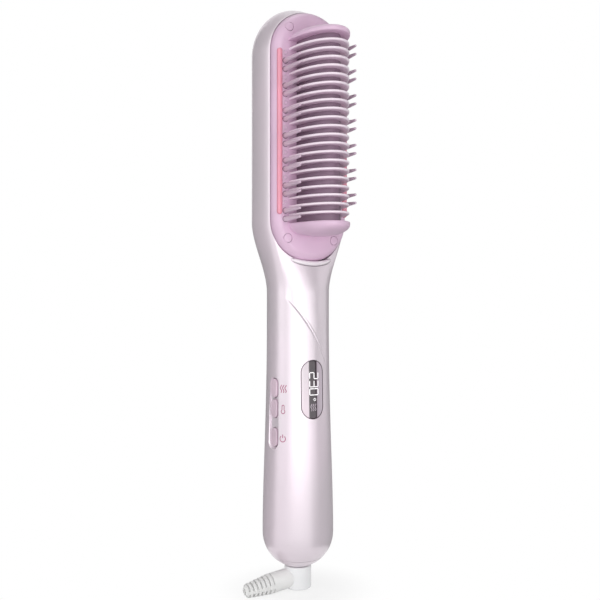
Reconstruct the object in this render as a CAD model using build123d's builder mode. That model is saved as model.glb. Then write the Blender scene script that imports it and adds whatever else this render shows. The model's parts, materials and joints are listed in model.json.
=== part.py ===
from build123d import *
import math
import os

os.makedirs("parts", exist_ok=True)

# Steam hair straightening brush, in millimetres.
# The origin is on the grip's long axis at the middle of the hand grip. +Z runs up to the head,
# -Y is the front with the heated comb, and -X is the side that carries the three buttons.

# ---------------------------------------------------------------- clearances
RUN_GAP = 0.3             # between pieces that move past each other
SEAT_GAP = 0.1            # between fixed pieces with nested curved faces
SHAFT_GAP = 0.05          # round a screw shaft or a pin in its hole

# ---------------------------------------------------------------- grip and butt
WAIST_RADIUS = 15.35
GRIP_RADIUS = 16.45
BUTT_RADIUS = 17.8
WAIST_Z = 70.0            # top of the round grip, where the shoulder starts
BUTT_Z = -49.2            # centre of the domed butt
CAP_SEAM_Z = -61.5        # seam between the housing and the bottom cap
WALL = 2.0

# ---------------------------------------------------------------- head
SHOULDER_TOP_Z = 105.0
HEAD_ARC_Z = 188.0        # centre of the round top of the head
HEAD_HALF_WIDTH = 24.1
HEAD_FRONT = 11.9         # rim of the housing, in front of the axis
HEAD_BACK = 14.5
RIM_RADIUS = 1.5
BACK_CORNER_RADIUS = 11.5
SPLIT_Y = 9.5             # parting plane of the rear cover
SHOULDER_SHARES = (0.0, 0.08, 0.2, 0.35, 0.5, 0.65, 0.8, 0.92, 1.0)
NODE_ANGLES = (55.0, 72.0, 100.0, 140.0)  # where the round section turns into the head's corners
ARC_HANDLE = 0.5523       # handle length of a quarter circle
CURVE_STEPS = 6           # points along each eighth of a section

# ---------------------------------------------------------------- face plate
PLATE_HALF_WIDTH = 21.3
PLATE_LOW_ARC_Z = 107.5
PLATE_FRONT = 14.9
PLATE_WALL = 1.8
PLATE_EDGE_RADIUS = 2.6
PLATE_SKIRT = 9.0         # rear edge of the skirt, in front of the axis
PLATE_GAP = 0.2
PLUG_RADIUS = 2.35
PLUG_THICKNESS = 1.0
PLUG_X = 12.4
PLUG_FROM_ARC = 10.9      # plug centre beyond the centre of the plate's end arc
POST_RADIUS = 2.9
POST_SINK = 0.8           # the posts end this far inside the flat of the back, in its corner

# ---------------------------------------------------------------- lip under the face plate
LIP_Z = 85.2
LIP_RISE = 1.7
LIP_HALF_WIDTH = 14.0
LIP_FRONT = 13.4
LIP_SETBACK = 3.6
LIP_RADIUS = 1.3

# ---------------------------------------------------------------- comb
COMB_MID_Z = 148.0
COMB_HALF_LENGTH = 44.0
FIN_PITCH = 4.0
FIN_COUNT = 21
FIN_THICKNESS = 1.1
FIN_HALF_WIDTH = 13.3
FIN_REACH = 25.6
CORE_HALF_WIDTH = 9.0
CORE_REACH = 21.0
CORE_FLANGE_HALF_WIDTH = 11.0
END_HALF_WIDTH = 14.8
END_REACH = 26.0
END_RIM_DEPTH = 2.5
END_FOOT_DEPTH = 5.6
END_FOOT_HALF_WIDTH = 8.5
TOOTH_X = 15.4
TOOTH_ROOT_RADIUS = 1.3
TOOTH_TIP_RADIUS = 0.7
TOOTH_REACH = 14.9
TOOTH_HOLE_GAP = 0.15
TOOTH_BAR_WIDTH = 3.2
TOOTH_STEPS = 10          # places on each side of the middle, a fin pitch apart
OUTLET_EVERY = 3          # every third place is a steam outlet
STRIP_X = 18.6
STRIP_WIDTH = 2.5
STRIP_PROUD = 1.2
STRIP_DEPTH = 0.8
STRIP_LENGTH = 79.6
OUTLET_RADIUS = 0.8

# ---------------------------------------------------------------- heater
SLOT_HALF_WIDTH = 3.0
SLOT_REACH = 18.0         # depth of the heater slot in the core, from the plate's front
TILE_HALF_THICKNESS = 1.2
ELECTRODE_THICKNESS = 0.5
WEDGE_THICKNESS = 1.0
FILM_THICKNESS = 0.3
TILE_COUNT = 3
TILE_LENGTH = 24.0
TILE_PITCH = 26.0
TRAY_THICKNESS = 2.2
TRAY_HALF_WIDTH = 19.0
TRAY_WINDOW_HALF_WIDTH = 6.0
TRAY_END = 49.4           # half length of the tray
LAYER = 1.5               # space for flange and tooth bars between plate and tray
CAP_SCREW_X = 5.0
CAP_SCREW_BITE = 4.0
PAD_HALF_WIDTH = 8.0      # of the tray's end pads

# ---------------------------------------------------------------- steam
RAIL_WIDTH = 4.0
RAIL_DEPTH = 3.0
RAIL_WALL = 0.8
SENSOR_X = 9.0
SENSOR_Z = 140.0
FUSE_LINK_RADIUS = 1.6
FUSE_LINK_LENGTH = 11.0
THERMISTOR_SIZE = (3.0, 2.0, 5.0)
TANK_HALF_WIDTH = 16.0
TANK_DEPTH = 14.5
TANK_LOW_Z = 122.0
TANK_HIGH_Z = 194.0
TANK_WALL = 1.3
TANK_CORNER = 7.0
PUMP_HALF_WIDTH = 6.0
PUMP_DEPTH = 12.0
PUMP_EDGE_RADIUS = 1.5
PUMP_LOW_Z = 103.0
PUMP_HIGH_Z = 118.0
WATER_TUBE_RADIUS = 1.5
STEAM_TUBE_RADIUS = 1.2
STEAM_TUBE_X = 4.0
STEAM_TUBE_Z = 107.5
STEAM_TUBE_BEND = 5.0
FILL_Z = 182.0
FILL_RADIUS = 3.0
FILL_HEAD_RADIUS = 5.5
FILL_HEAD_THICKNESS = 1.2
FILL_STEM = 5.0

# ---------------------------------------------------------------- display
WINDOW_Z = 23.5
WINDOW_LENGTH = 28.7
WINDOW_WIDTH = 12.7
WINDOW_LEDGE = 1.0
LENS_THICKNESS = 1.1
DISPLAY_PCB_FRONT = 9.3
DISPLAY_PCB_THICKNESS = 1.4
DISPLAY_PCB_HALF_WIDTH = 6.5
DISPLAY_PCB_LENGTH = 44.0
DISPLAY_POST_X = 4.6
DISPLAY_POST_RADIUS = 1.3
DISPLAY_POST_SPAN = 20.0  # from the middle of the window to each pair of posts
MODULE_FRONT = 12.5
MODULE_HALF_WIDTH = 4.8
MODULE_LENGTH = 26.0

# ---------------------------------------------------------------- buttons
BUTTON_ANGLE = -77.0      # round the grip from the front, towards +X
BUTTON_PLACES = {"steam": 23.7, "temperature": 13.7, "power": -0.4}
BUTTON_LENGTH = 9.1
BUTTON_WIDTH = 4.0
BUTTON_EDGE_RADIUS = 0.5
BUTTON_TRAVEL = 0.5
BUTTON_BELOW_GRIP = 0.35  # button top under the grip's mid radius
RECESS_Z = 11.75
RECESS_LENGTH = 34.7
RECESS_WIDTH = 6.4
RECESS_DEPTH = 1.35
PAD_THICKNESS = 1.2
FLANGE_WIDER = 0.8
FLANGE_THICKNESS = 0.6
FLANGE_BELOW_PAD = 0.5
STEM_RADIUS = 1.0
STEM_LENGTH = 0.8
BUTTON_PCB_THICKNESS = 1.4
BUTTON_PCB_WIDTH = 7.0
BUTTON_PCB_LENGTH = 45.0
SWITCH_SIDE = 4.4
SWITCH_HEIGHT = 1.7
PLUNGER_RADIUS = 0.9
PLUNGER_HEIGHT = 0.4
BUTTON_POST_RADIUS = 1.5
BUTTON_POST_SPAN = 20.5   # from the middle of the recess to each post

# ---------------------------------------------------------------- power board
BOARD_Y = 4.0
BOARD_THICKNESS = 1.6
BOARD_HALF_WIDTH = 11.0
BOARD_LOW_Z = -40.0
BOARD_HIGH_Z = 58.0
SHELF_THICKNESS = 1.4
SHELF_INNER_X = 9.5
CAPACITOR_SIZE = (10.0, 5.5, 16.0)
CAPACITOR_Z = -24.0
SINK_SIZE = (12.0, 5.0, 20.0)
SINK_Z = 14.0
SINK_BASE = 1.5
SINK_SLOT_XS = (-3.9, -1.3, 1.3, 3.9)
SINK_SLOT_WIDTH = 1.4
FUSE_RADIUS = 2.0
FUSE_LENGTH = 14.0
FUSE_Z = 44.0

# ---------------------------------------------------------------- shell screws
SHELL_SCREW_ZS = (-45.5, 62.5)
COLUMN_RADIUS = 3.0
SCREW_SEAT_Y = 12.5
SCREW_HEAD_RADIUS = 2.2
SCREW_HEAD_HEIGHT = 1.2
SCREW_SHAFT_RADIUS = 1.0
SCREW_LENGTH = 10.0
COUNTERBORE_GAP = 0.2

# ---------------------------------------------------------------- wires
LEAD_RADIUS = 0.8
POWER_LEAD_X = 6.0
HEATER_LEAD_X = 7.5
HEATER_LEAD_Z = 114.0
HEATER_LEAD_BEND = 6.0

# ---------------------------------------------------------------- cord swivel
CAP_FLAT_Z = -66.0        # flat under the bottom cap
CAP_FLOOR_Z = -63.0       # inner floor of the bottom cap
SPIGOT_RADIUS = 9.6
SPIGOT_WALL = 1.8
SPIGOT_TOP_Z = -58.0
BOSS_RADIUS = 6.75
BOSS_BOTTOM_Z = -77.5
BOSS_EDGE_RADIUS = 0.8
NECK_RADIUS = 4.5
NECK_TOP_Z = -60.5
NECK_BORE_RADIUS = 1.6
CLIP_GROOVE_DEPTH = 0.6
CLIP_THICKNESS = 0.8
CLIP_RADIUS = 6.4
CONTACT_RINGS = ((2.2, 2.9), (3.5, 4.2))
CONTACT_THICKNESS = 0.4
SLIP_DISC_THICKNESS = 1.2
BRUSH_RADIUS = 0.3
TAIL_Z = -72.3
TAIL_DROOP = 2.5          # degrees below level
TAIL_ROOT_RADIUS = 4.8
TAIL_END_RADIUS = 2.35
TAIL_LENGTH = 30.7
TAIL_RING_START = 10.0
TAIL_RING_COUNT = 8
TAIL_RING_PITCH = 2.3
TAIL_RING_THICKNESS = 1.3
TAIL_CORE_DEPTH = 1.1
TAIL_SPIGOT_RADIUS = 3.6
TAIL_SPIGOT_START = 3.6
CORD_BORE_RADIUS = 1.5
CORD_BORE_END = 9.0

# ---------------------------------------------------------------- derived places
plate_back = PLATE_FRONT - PLATE_WALL
post_front = PLATE_SKIRT - SEAT_GAP  # where the rear cover's posts meet the plate's bosses
tray_front = plate_back - LAYER
tray_back = tray_front - TRAY_THICKNESS
comb_low_z = COMB_MID_Z - COMB_HALF_LENGTH
comb_high_z = COMB_MID_Z + COMB_HALF_LENGTH
fin_offsets = [FIN_PITCH * (i - (FIN_COUNT - 1) / 2) for i in range(FIN_COUNT)]
plug_places = [
    (side * PLUG_X, z)
    for side in (-1, 1)
    for z in (PLATE_LOW_ARC_Z - PLUG_FROM_ARC, HEAD_ARC_Z + PLUG_FROM_ARC)
]
cap_screw_places = [
    (side * CAP_SCREW_X, COMB_MID_Z + end * (COMB_HALF_LENGTH + END_FOOT_DEPTH / 2))
    for side in (-1, 1)
    for end in (-1, 1)
]
plug_floor = PLATE_FRONT - PLUG_THICKNESS - SCREW_HEAD_HEIGHT
left_teeth = []
left_outlets = []
for index in range(-TOOTH_STEPS, TOOTH_STEPS + 1):
    if (index - 1) % OUTLET_EVERY == 0:
        left_outlets.append((-TOOTH_X, COMB_MID_Z + index * FIN_PITCH - FIN_PITCH / 2))
    else:
        left_teeth.append((-TOOTH_X, COMB_MID_Z + index * FIN_PITCH - FIN_PITCH / 2))
right_teeth = [(-x, 2 * COMB_MID_Z - z) for x, z in left_teeth]
right_outlets = [(-x, 2 * COMB_MID_Z - z) for x, z in left_outlets]
recess_floor = GRIP_RADIUS - RECESS_DEPTH
pad_face = recess_floor - PAD_THICKNESS
flange_top = pad_face - FLANGE_BELOW_PAD
flange_low = flange_top - FLANGE_THICKNESS
stem_low = flange_low - STEM_LENGTH
plunger_top = stem_low - BUTTON_TRAVEL - 2 * SEAT_GAP
switch_top = plunger_top - PLUNGER_HEIGHT
button_pcb_face = switch_top - SWITCH_HEIGHT
board_back = BOARD_Y + BOARD_THICKNESS
head_inner_back = HEAD_BACK - WALL
tank_back = head_inner_back - SEAT_GAP
boss_top_z = CAP_FLAT_Z - RUN_GAP
clip_low_z = CAP_FLOOR_Z + RUN_GAP
board_mid_y = BOARD_Y + BOARD_THICKNESS / 2
rail_mid = tray_back - RAIL_DEPTH / 2
pump_mid_y = head_inner_back - PUMP_DEPTH / 2
button_plane = Plane(
    origin=(0, 0, 0),
    x_dir=(0, 0, 1),
    z_dir=(math.sin(math.radians(BUTTON_ANGLE)), -math.cos(math.radians(BUTTON_ANGLE)), 0),
)
button_plane_axis = Axis((0, 0, 0), button_plane.z_dir)
tail_plane = Plane(
    origin=(0, 0, TAIL_Z),
    x_dir=(0, 1, 0),
    z_dir=(-math.cos(math.radians(TAIL_DROOP)), 0, -math.sin(math.radians(TAIL_DROOP))),
)


# ---------------------------------------------------------------- shared forms
def front_plane(distance):
    """Plane facing the front, at a distance in front of the grip's axis."""
    return Plane.XZ.offset(distance)


def grip_form(inset):
    """Round grip with its domed butt, shrunk by inset."""
    dome = BUTT_RADIUS - inset
    waist = WAIST_RADIUS - inset
    with BuildPart() as form:
        with BuildSketch(Plane.XZ):
            with BuildLine():
                Line((0, WAIST_Z), (waist, WAIST_Z))
                Spline(
                    (waist, WAIST_Z),
                    (GRIP_RADIUS - inset, 0),
                    (dome, BUTT_Z),
                    tangents=[(0, -1), (0, -1)],
                )
                CenterArc((0, BUTT_Z), dome, 0, -90)
                Line((0, BUTT_Z - dome), (0, WAIST_Z))
            make_face()
        revolve(axis=Axis.Z)
    return form.part


def round_curves(radius):
    """Eight cubic curves round a circle, from the front left, as control points."""
    lows = NODE_ANGLES
    angles = [-lows[0], *lows] + [360 - a for a in reversed(lows)]
    curves = []
    for start, end in zip(angles[:-1], angles[1:]):
        handle = 4 / 3 * math.tan(math.radians(end - start) / 4) * radius
        first, last = math.radians(start), math.radians(end)
        p0 = Vector(radius * math.sin(first), -radius * math.cos(first))
        p3 = Vector(radius * math.sin(last), -radius * math.cos(last))
        p1 = p0 + Vector(math.cos(first), math.sin(first)) * handle
        p2 = p3 - Vector(math.cos(last), math.sin(last)) * handle
        curves.append([p0, p1, p2, p3])
    return curves


def head_curves(inset):
    """Eight cubic curves round the head's section, from the front left, as control points."""
    width = HEAD_HALF_WIDTH - inset
    front = HEAD_FRONT - inset
    back = HEAD_BACK - inset
    rim = max(RIM_RADIUS - inset, RIM_RADIUS / 4)
    corner = BACK_CORNER_RADIUS - inset
    right = [
        Vector(width - rim, -front),
        Vector(width, rim - front),
        Vector(width, back - corner),
        Vector(width - corner, back),
    ]
    nodes = [Vector(-right[0].X, right[0].Y), *right]
    nodes += [Vector(-p.X, p.Y) for p in reversed(right)]
    turns = {1: Vector(width, -front), 3: Vector(width, back)}
    turns |= {5: Vector(-width, back), 7: Vector(-width, -front)}
    curves = []
    for i, (start, end) in enumerate(zip(nodes[:-1], nodes[1:])):
        if i in turns:
            first = start + (turns[i] - start) * ARC_HANDLE
            last = end + (turns[i] - end) * ARC_HANDLE
        else:
            first = start + (end - start) / 3
            last = end - (end - start) / 3
        curves.append([start, first, last, end])
    return curves


def body_section(share, inset, height):
    """Closed face at a height, between the round grip at share 0 and the head at share 1."""
    radius = WAIST_RADIUS - inset
    if share == 0:
        start = math.radians(-NODE_ANGLES[0])
        seam = (math.sin(start), -math.cos(start), 0)
        base = Plane(origin=(0, 0, height), x_dir=seam, z_dir=(0, 0, 1))
        return Face(Wire([Edge.make_circle(radius, base)]))
    weight = share * share * (3 - 2 * share)
    points = []
    # every section has its points at the same places along the spline
    places = [0.0]
    for around, square in zip(round_curves(radius), head_curves(inset)):
        p0, p1, p2, p3 = [r * (1 - weight) + s * weight for r, s in zip(around, square)]
        stride = ((around[3] - around[0]).length + (square[3] - square[0]).length) / CURVE_STEPS
        for step in range(CURVE_STEPS):
            u = step / CURVE_STEPS
            v = 1 - u
            point = p0 * v**3 + p1 * 3 * u * v**2 + p2 * 3 * u**2 * v + p3 * u**3
            points.append((point.X, point.Y, height))
            places.append(places[-1] + stride)
    parameters = [place / places[-1] for place in places]
    return Face(Wire([Edge.make_spline(points, periodic=True, parameters=parameters)]))


def housing_form(inset):
    """Grip, shoulder and head in one solid, shrunk by inset."""
    rise = SHOULDER_TOP_Z - WAIST_Z
    half_section = split(body_section(1, inset, HEAD_ARC_Z), bisect_by=Plane.YZ, keep=Keep.TOP)
    with BuildPart() as form:
        add(grip_form(inset))
        loft([body_section(share, inset, WAIST_Z + share * rise) for share in SHOULDER_SHARES])
        extrude(body_section(1, inset, SHOULDER_TOP_Z), HEAD_ARC_Z - SHOULDER_TOP_Z, (0, 0, 1))
        revolve(half_section, Axis((0, 0, HEAD_ARC_Z), (0, -1, 0)), 180)
    return form.part


def face_slot(half_width):
    """Upright stadium concentric with the face plate, seen from the front."""
    with BuildSketch() as outline:
        with Locations((0, (PLATE_LOW_ARC_Z + HEAD_ARC_Z) / 2)):
            SlotCenterToCenter(HEAD_ARC_Z - PLATE_LOW_ARC_Z, 2 * half_width, rotation=90)
    return outline.sketch


def half_ellipse(half_width, reach):
    """Half ellipse that stands on the face plate's front plane, seen from above."""
    with BuildSketch() as outline:
        with Locations((0, -PLATE_FRONT)):
            Ellipse(half_width, reach)
            Rectangle(
                2 * half_width,
                reach,
                align=(Align.CENTER, Align.MIN),
                mode=Mode.SUBTRACT,
            )
    return outline.sketch


def front_cylinder(place, radius, front, back):
    """Cylinder along Y at (x, z) between two distances in front of the axis."""
    with BuildPart() as pin:
        with BuildSketch(front_plane(back)):
            with Locations(place):
                Circle(radius)
        extrude(amount=front - back)
    return pin.part


def front_block(half_width, low_z, high_z, front, back):
    """Block centred on X = 0 between two distances in front of the axis."""
    with BuildPart() as block:
        with BuildSketch(front_plane(back)):
            with Locations((0, (low_z + high_z) / 2)):
                Rectangle(2 * half_width, high_z - low_z)
        extrude(amount=front - back)
    return block.part


# ---------------------------------------------------------------- housing blanks
outer_form = housing_form(0)
inner_form = housing_form(WALL)
grip_outer = grip_form(0)

with BuildPart() as lip:
    with BuildLine() as lip_path:
        ThreePointArc(
            (-LIP_HALF_WIDTH, -LIP_FRONT + LIP_SETBACK, LIP_Z + LIP_RISE),
            (0, -LIP_FRONT, LIP_Z),
            (LIP_HALF_WIDTH, -LIP_FRONT + LIP_SETBACK, LIP_Z + LIP_RISE),
        )
    with BuildSketch(lip_path.line ^ 0):
        Circle(LIP_RADIUS)
    sweep(path=lip_path.line)

with BuildPart() as shell:
    add(outer_form)
    add(lip.part)
    add(inner_form, mode=Mode.SUBTRACT)

# ---------------------------------------------------------------- front housing
with BuildPart() as lens_pocket:
    with BuildSketch(front_plane(0)):
        with Locations((0, WINDOW_Z)):
            SlotOverall(WINDOW_LENGTH + 2 * SEAT_GAP, WINDOW_WIDTH + 2 * SEAT_GAP, rotation=90)
    extrude(amount=GRIP_RADIUS + WALL)
    add(grip_form(LENS_THICKNESS + SEAT_GAP), mode=Mode.SUBTRACT)
    split(bisect_by=front_plane(0), keep=Keep.TOP)

with BuildPart() as grip_braces:
    # posts for the display board
    for z in (DISPLAY_POST_SPAN, -DISPLAY_POST_SPAN):
        for side in (-1, 1):
            place = (side * DISPLAY_POST_X, WINDOW_Z + z)
            add(front_cylinder(place, DISPLAY_POST_RADIUS, GRIP_RADIUS, DISPLAY_PCB_FRONT))
    # posts for the button board
    with BuildSketch(button_plane.offset(button_pcb_face)):
        with Locations(*[(RECESS_Z + end * BUTTON_POST_SPAN, 0) for end in (-1, 1)]):
            Circle(BUTTON_POST_RADIUS)
    extrude(amount=GRIP_RADIUS - button_pcb_face)
    # shelves for the power board
    for side, align_x in ((-1, Align.MAX), (1, Align.MIN)):
        with BuildSketch(Plane.XY.offset(BOARD_LOW_Z)):
            with Locations((side * SHELF_INNER_X, BOARD_Y)):
                Rectangle(GRIP_RADIUS - SHELF_INNER_X, SHELF_THICKNESS, align=(align_x, Align.MAX))
        extrude(amount=BOARD_HIGH_Z - BOARD_LOW_Z)
    # columns for the two shell screws
    for z in SHELL_SCREW_ZS:
        add(front_cylinder((0, z), COLUMN_RADIUS, BUTT_RADIUS, -SPLIT_Y))
    # all of it ends inside the wall
    add(grip_form(WALL / 2), mode=Mode.INTERSECT)

with BuildPart() as front_housing:
    add(shell.part)
    split(bisect_by=Plane.XZ.offset(-SPLIT_Y), keep=Keep.TOP)
    split(bisect_by=Plane.XY.offset(CAP_SEAM_Z), keep=Keep.TOP)
    # opening for the face plate
    with BuildSketch(front_plane(PLATE_SKIRT - PLATE_GAP)):
        add(face_slot(PLATE_HALF_WIDTH + PLATE_GAP))
    extrude(amount=2 * HEAD_FRONT, mode=Mode.SUBTRACT)
    # flat pad behind the buttons, then the recess that they stand in
    with BuildSketch(button_plane.offset(pad_face)):
        with Locations((RECESS_Z, 0)):
            SlotOverall(RECESS_LENGTH + 2 * PAD_THICKNESS, RECESS_WIDTH + 2 * PAD_THICKNESS)
    extrude(amount=PAD_THICKNESS)
    with BuildSketch(button_plane.offset(recess_floor)):
        with Locations((RECESS_Z, 0)):
            SlotOverall(RECESS_LENGTH, RECESS_WIDTH)
    extrude(amount=GRIP_RADIUS, mode=Mode.SUBTRACT)
    with BuildSketch(button_plane.offset(flange_top)):
        with Locations(*[(z, 0) for z in BUTTON_PLACES.values()]):
            SlotOverall(BUTTON_LENGTH + 2 * RUN_GAP, BUTTON_WIDTH + 2 * RUN_GAP)
    extrude(amount=RECESS_DEPTH + PAD_THICKNESS, mode=Mode.SUBTRACT)
    # display window with a ledge for the lens
    add(lens_pocket.part, mode=Mode.SUBTRACT)
    with BuildSketch(front_plane(MODULE_FRONT)):
        with Locations((0, WINDOW_Z)):
            SlotOverall(
                WINDOW_LENGTH - 2 * WINDOW_LEDGE,
                WINDOW_WIDTH - 2 * WINDOW_LEDGE,
                rotation=90,
            )
    extrude(amount=GRIP_RADIUS, mode=Mode.SUBTRACT)
    # inner posts, shelves and columns, then the pilot holes of the shell screws
    add(grip_braces.part)
    for z in SHELL_SCREW_ZS:
        add(
            front_cylinder(
                (0, z),
                SCREW_SHAFT_RADIUS + SHAFT_GAP,
                SCREW_LENGTH - SCREW_SEAT_Y + SEAT_GAP,
                -SPLIT_Y,
            ),
            mode=Mode.SUBTRACT,
        )
front_housing.part.label = "front_housing"
export_step(front_housing.part, "parts/front_housing.step")

# ---------------------------------------------------------------- rear cover and bottom cap
with BuildPart() as rear_bosses:
    for z in SHELL_SCREW_ZS:
        add(front_cylinder((0, z), COLUMN_RADIUS, -SPLIT_Y, -BUTT_RADIUS))
    add(grip_form(WALL / 2), mode=Mode.INTERSECT)

with BuildPart() as rear_cover:
    add(shell.part)
    split(bisect_by=Plane.XZ.offset(-SPLIT_Y), keep=Keep.BOTTOM)
    split(bisect_by=Plane.XY.offset(CAP_SEAM_Z), keep=Keep.TOP)
    # bosses and counterbores for the two shell screws
    add(rear_bosses.part)
    for z in SHELL_SCREW_ZS:
        add(
            front_cylinder((0, z), SCREW_SHAFT_RADIUS + SEAT_GAP, -SPLIT_Y, -BUTT_RADIUS),
            mode=Mode.SUBTRACT,
        )
        add(
            front_cylinder((0, z), SCREW_HEAD_RADIUS + COUNTERBORE_GAP, -SCREW_SEAT_Y, -BUTT_RADIUS),
            mode=Mode.SUBTRACT,
        )
    # posts that take the face plate's screws
    for place in plug_places:
        add(front_cylinder(place, POST_RADIUS, post_front, POST_SINK - head_inner_back))
        add(
            front_cylinder(place, SCREW_SHAFT_RADIUS + SHAFT_GAP, post_front, post_front - SCREW_LENGTH),
            mode=Mode.SUBTRACT,
        )
    # filling hole with a seat for the plug's head
    add(front_cylinder((0, FILL_Z), FILL_RADIUS + RUN_GAP, 0, -BUTT_RADIUS), mode=Mode.SUBTRACT)
    add(
        front_cylinder(
            (0, FILL_Z), FILL_HEAD_RADIUS + RUN_GAP, -HEAD_BACK + FILL_HEAD_THICKNESS, -BUTT_RADIUS
        ),
        mode=Mode.SUBTRACT,
    )
rear_cover.part.label = "rear_cover"
export_step(rear_cover.part, "parts/rear_cover.step")

with BuildPart() as bottom_cap:
    add(grip_outer)
    split(bisect_by=Plane.XY.offset(CAP_SEAM_Z), keep=Keep.BOTTOM)
    split(bisect_by=Plane.XY.offset(CAP_FLAT_Z), keep=Keep.TOP)
    with BuildSketch(Plane.XY.offset(CAP_FLOOR_Z)):
        Circle(SPIGOT_RADIUS)
    extrude(amount=SPIGOT_TOP_Z - CAP_FLOOR_Z)
    with BuildSketch(Plane.XY.offset(CAP_FLOOR_Z)):
        Circle(SPIGOT_RADIUS - SPIGOT_WALL)
    extrude(amount=SPIGOT_TOP_Z - CAP_FLOOR_Z, mode=Mode.SUBTRACT)
    with BuildSketch(Plane.XY.offset(CAP_FLAT_Z)):
        Circle(NECK_RADIUS + RUN_GAP)
    extrude(amount=CAP_FLOOR_Z - CAP_FLAT_Z, mode=Mode.SUBTRACT)
bottom_cap.part.label = "bottom_cap"
export_step(bottom_cap.part, "parts/bottom_cap.step")

# ---------------------------------------------------------------- cord swivel
with BuildPart() as swivel_boss:
    with BuildSketch(Plane.XY.offset(BOSS_BOTTOM_Z)):
        Circle(BOSS_RADIUS)
    extrude(amount=boss_top_z - BOSS_BOTTOM_Z)
    fillet(swivel_boss.edges().filter_by(GeomType.CIRCLE), BOSS_EDGE_RADIUS)
    with BuildSketch(Plane.XY.offset(boss_top_z)):
        Circle(NECK_RADIUS)
    extrude(amount=NECK_TOP_Z - boss_top_z)
    # groove for the retaining clip
    with BuildSketch(Plane.XY.offset(clip_low_z)):
        Circle(NECK_RADIUS)
        Circle(NECK_RADIUS - CLIP_GROOVE_DEPTH, mode=Mode.SUBTRACT)
    extrude(amount=CLIP_THICKNESS, mode=Mode.SUBTRACT)
    # passage for the cord's cores, and the socket of the strain relief
    with BuildSketch(Plane.XY.offset(TAIL_Z)):
        Circle(NECK_BORE_RADIUS)
    extrude(amount=NECK_TOP_Z - TAIL_Z, mode=Mode.SUBTRACT)
    with BuildSketch(tail_plane.offset(TAIL_SPIGOT_START - SHAFT_GAP)):
        Circle(TAIL_SPIGOT_RADIUS + SHAFT_GAP)
    extrude(amount=BOSS_RADIUS, mode=Mode.SUBTRACT)
    with BuildSketch(tail_plane):
        Circle(CORD_BORE_RADIUS)
    extrude(amount=BOSS_RADIUS, mode=Mode.SUBTRACT)
swivel_boss.part.label = "swivel_boss"
export_step(swivel_boss.part, "parts/swivel_boss.step")

with BuildPart() as swivel_clip:
    with BuildSketch(Plane.XY.offset(clip_low_z)):
        Circle(CLIP_RADIUS)
        Circle(NECK_RADIUS - CLIP_GROOVE_DEPTH + SHAFT_GAP, mode=Mode.SUBTRACT)
        Rectangle(NECK_RADIUS, CLIP_RADIUS, align=(Align.CENTER, Align.MIN), mode=Mode.SUBTRACT)
    extrude(amount=CLIP_THICKNESS)
swivel_clip.part.label = "swivel_clip"
export_step(swivel_clip.part, "parts/swivel_clip.step")

with BuildPart() as contact_rings:
    with BuildSketch(Plane.XY.offset(NECK_TOP_Z)):
        for inner, outer in CONTACT_RINGS:
            Circle(outer)
            Circle(inner, mode=Mode.SUBTRACT)
    extrude(amount=CONTACT_THICKNESS)
contact_rings.part.label = "contact_rings"
export_step(contact_rings.part, "parts/contact_rings.step")

with BuildPart() as strain_relief:
    tail_slope = (TAIL_ROOT_RADIUS - TAIL_END_RADIUS) / (TAIL_LENGTH - TAIL_RING_START)
    collar_start = TAIL_RING_START + TAIL_RING_COUNT * TAIL_RING_PITCH
    with BuildSketch(tail_plane.offset(TAIL_SPIGOT_START)):
        Circle(TAIL_ROOT_RADIUS)
    extrude(amount=TAIL_RING_START - TAIL_SPIGOT_START)
    with Locations(tail_plane.offset(TAIL_RING_START)):
        Cone(
            TAIL_ROOT_RADIUS - TAIL_CORE_DEPTH,
            TAIL_END_RADIUS - TAIL_CORE_DEPTH / 4,
            TAIL_LENGTH - TAIL_RING_START,
            align=(Align.CENTER, Align.CENTER, Align.MIN),
        )
    for i in range(TAIL_RING_COUNT):
        start = (i + 1) * TAIL_RING_PITCH - TAIL_RING_THICKNESS
        with BuildSketch(tail_plane.offset(TAIL_RING_START + start)):
            Circle(TAIL_ROOT_RADIUS - tail_slope * start)
        extrude(amount=TAIL_RING_THICKNESS)
    with BuildSketch(tail_plane.offset(collar_start)):
        Circle(TAIL_END_RADIUS)
    extrude(amount=TAIL_LENGTH - collar_start)
    # the root fits round the boss, with a spigot in the boss's socket
    with BuildSketch(Plane.XY.offset(BOSS_BOTTOM_Z - WALL)):
        Circle(BOSS_RADIUS + SHAFT_GAP)
    extrude(amount=boss_top_z - BOSS_BOTTOM_Z + 2 * WALL, mode=Mode.SUBTRACT)
    with BuildSketch(tail_plane.offset(TAIL_SPIGOT_START)):
        Circle(TAIL_SPIGOT_RADIUS)
    extrude(amount=BOSS_RADIUS)
    with BuildSketch(tail_plane.offset(CORD_BORE_END)):
        Circle(CORD_BORE_RADIUS)
    extrude(amount=TAIL_LENGTH - CORD_BORE_END, mode=Mode.SUBTRACT)
strain_relief.part.label = "strain_relief"
export_step(strain_relief.part, "parts/strain_relief.step")

with BuildPart() as slip_disc:
    with BuildSketch(Plane.XY.offset(SPIGOT_TOP_Z)):
        Circle(SPIGOT_RADIUS)
    extrude(amount=SLIP_DISC_THICKNESS)
slip_disc.part.label = "slip_disc"
export_step(slip_disc.part, "parts/slip_disc.step")

with BuildPart() as slip_brushes:
    brush_low_z = NECK_TOP_Z + CONTACT_THICKNESS + RUN_GAP
    with BuildSketch(Plane.XY.offset(brush_low_z)):
        with Locations(*[(0, (inner + outer) / 2) for inner, outer in CONTACT_RINGS]):
            Circle(BRUSH_RADIUS)
    extrude(amount=SPIGOT_TOP_Z - brush_low_z)
slip_brushes.part.label = "slip_brushes"
export_step(slip_brushes.part, "parts/slip_brushes.step")

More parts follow.
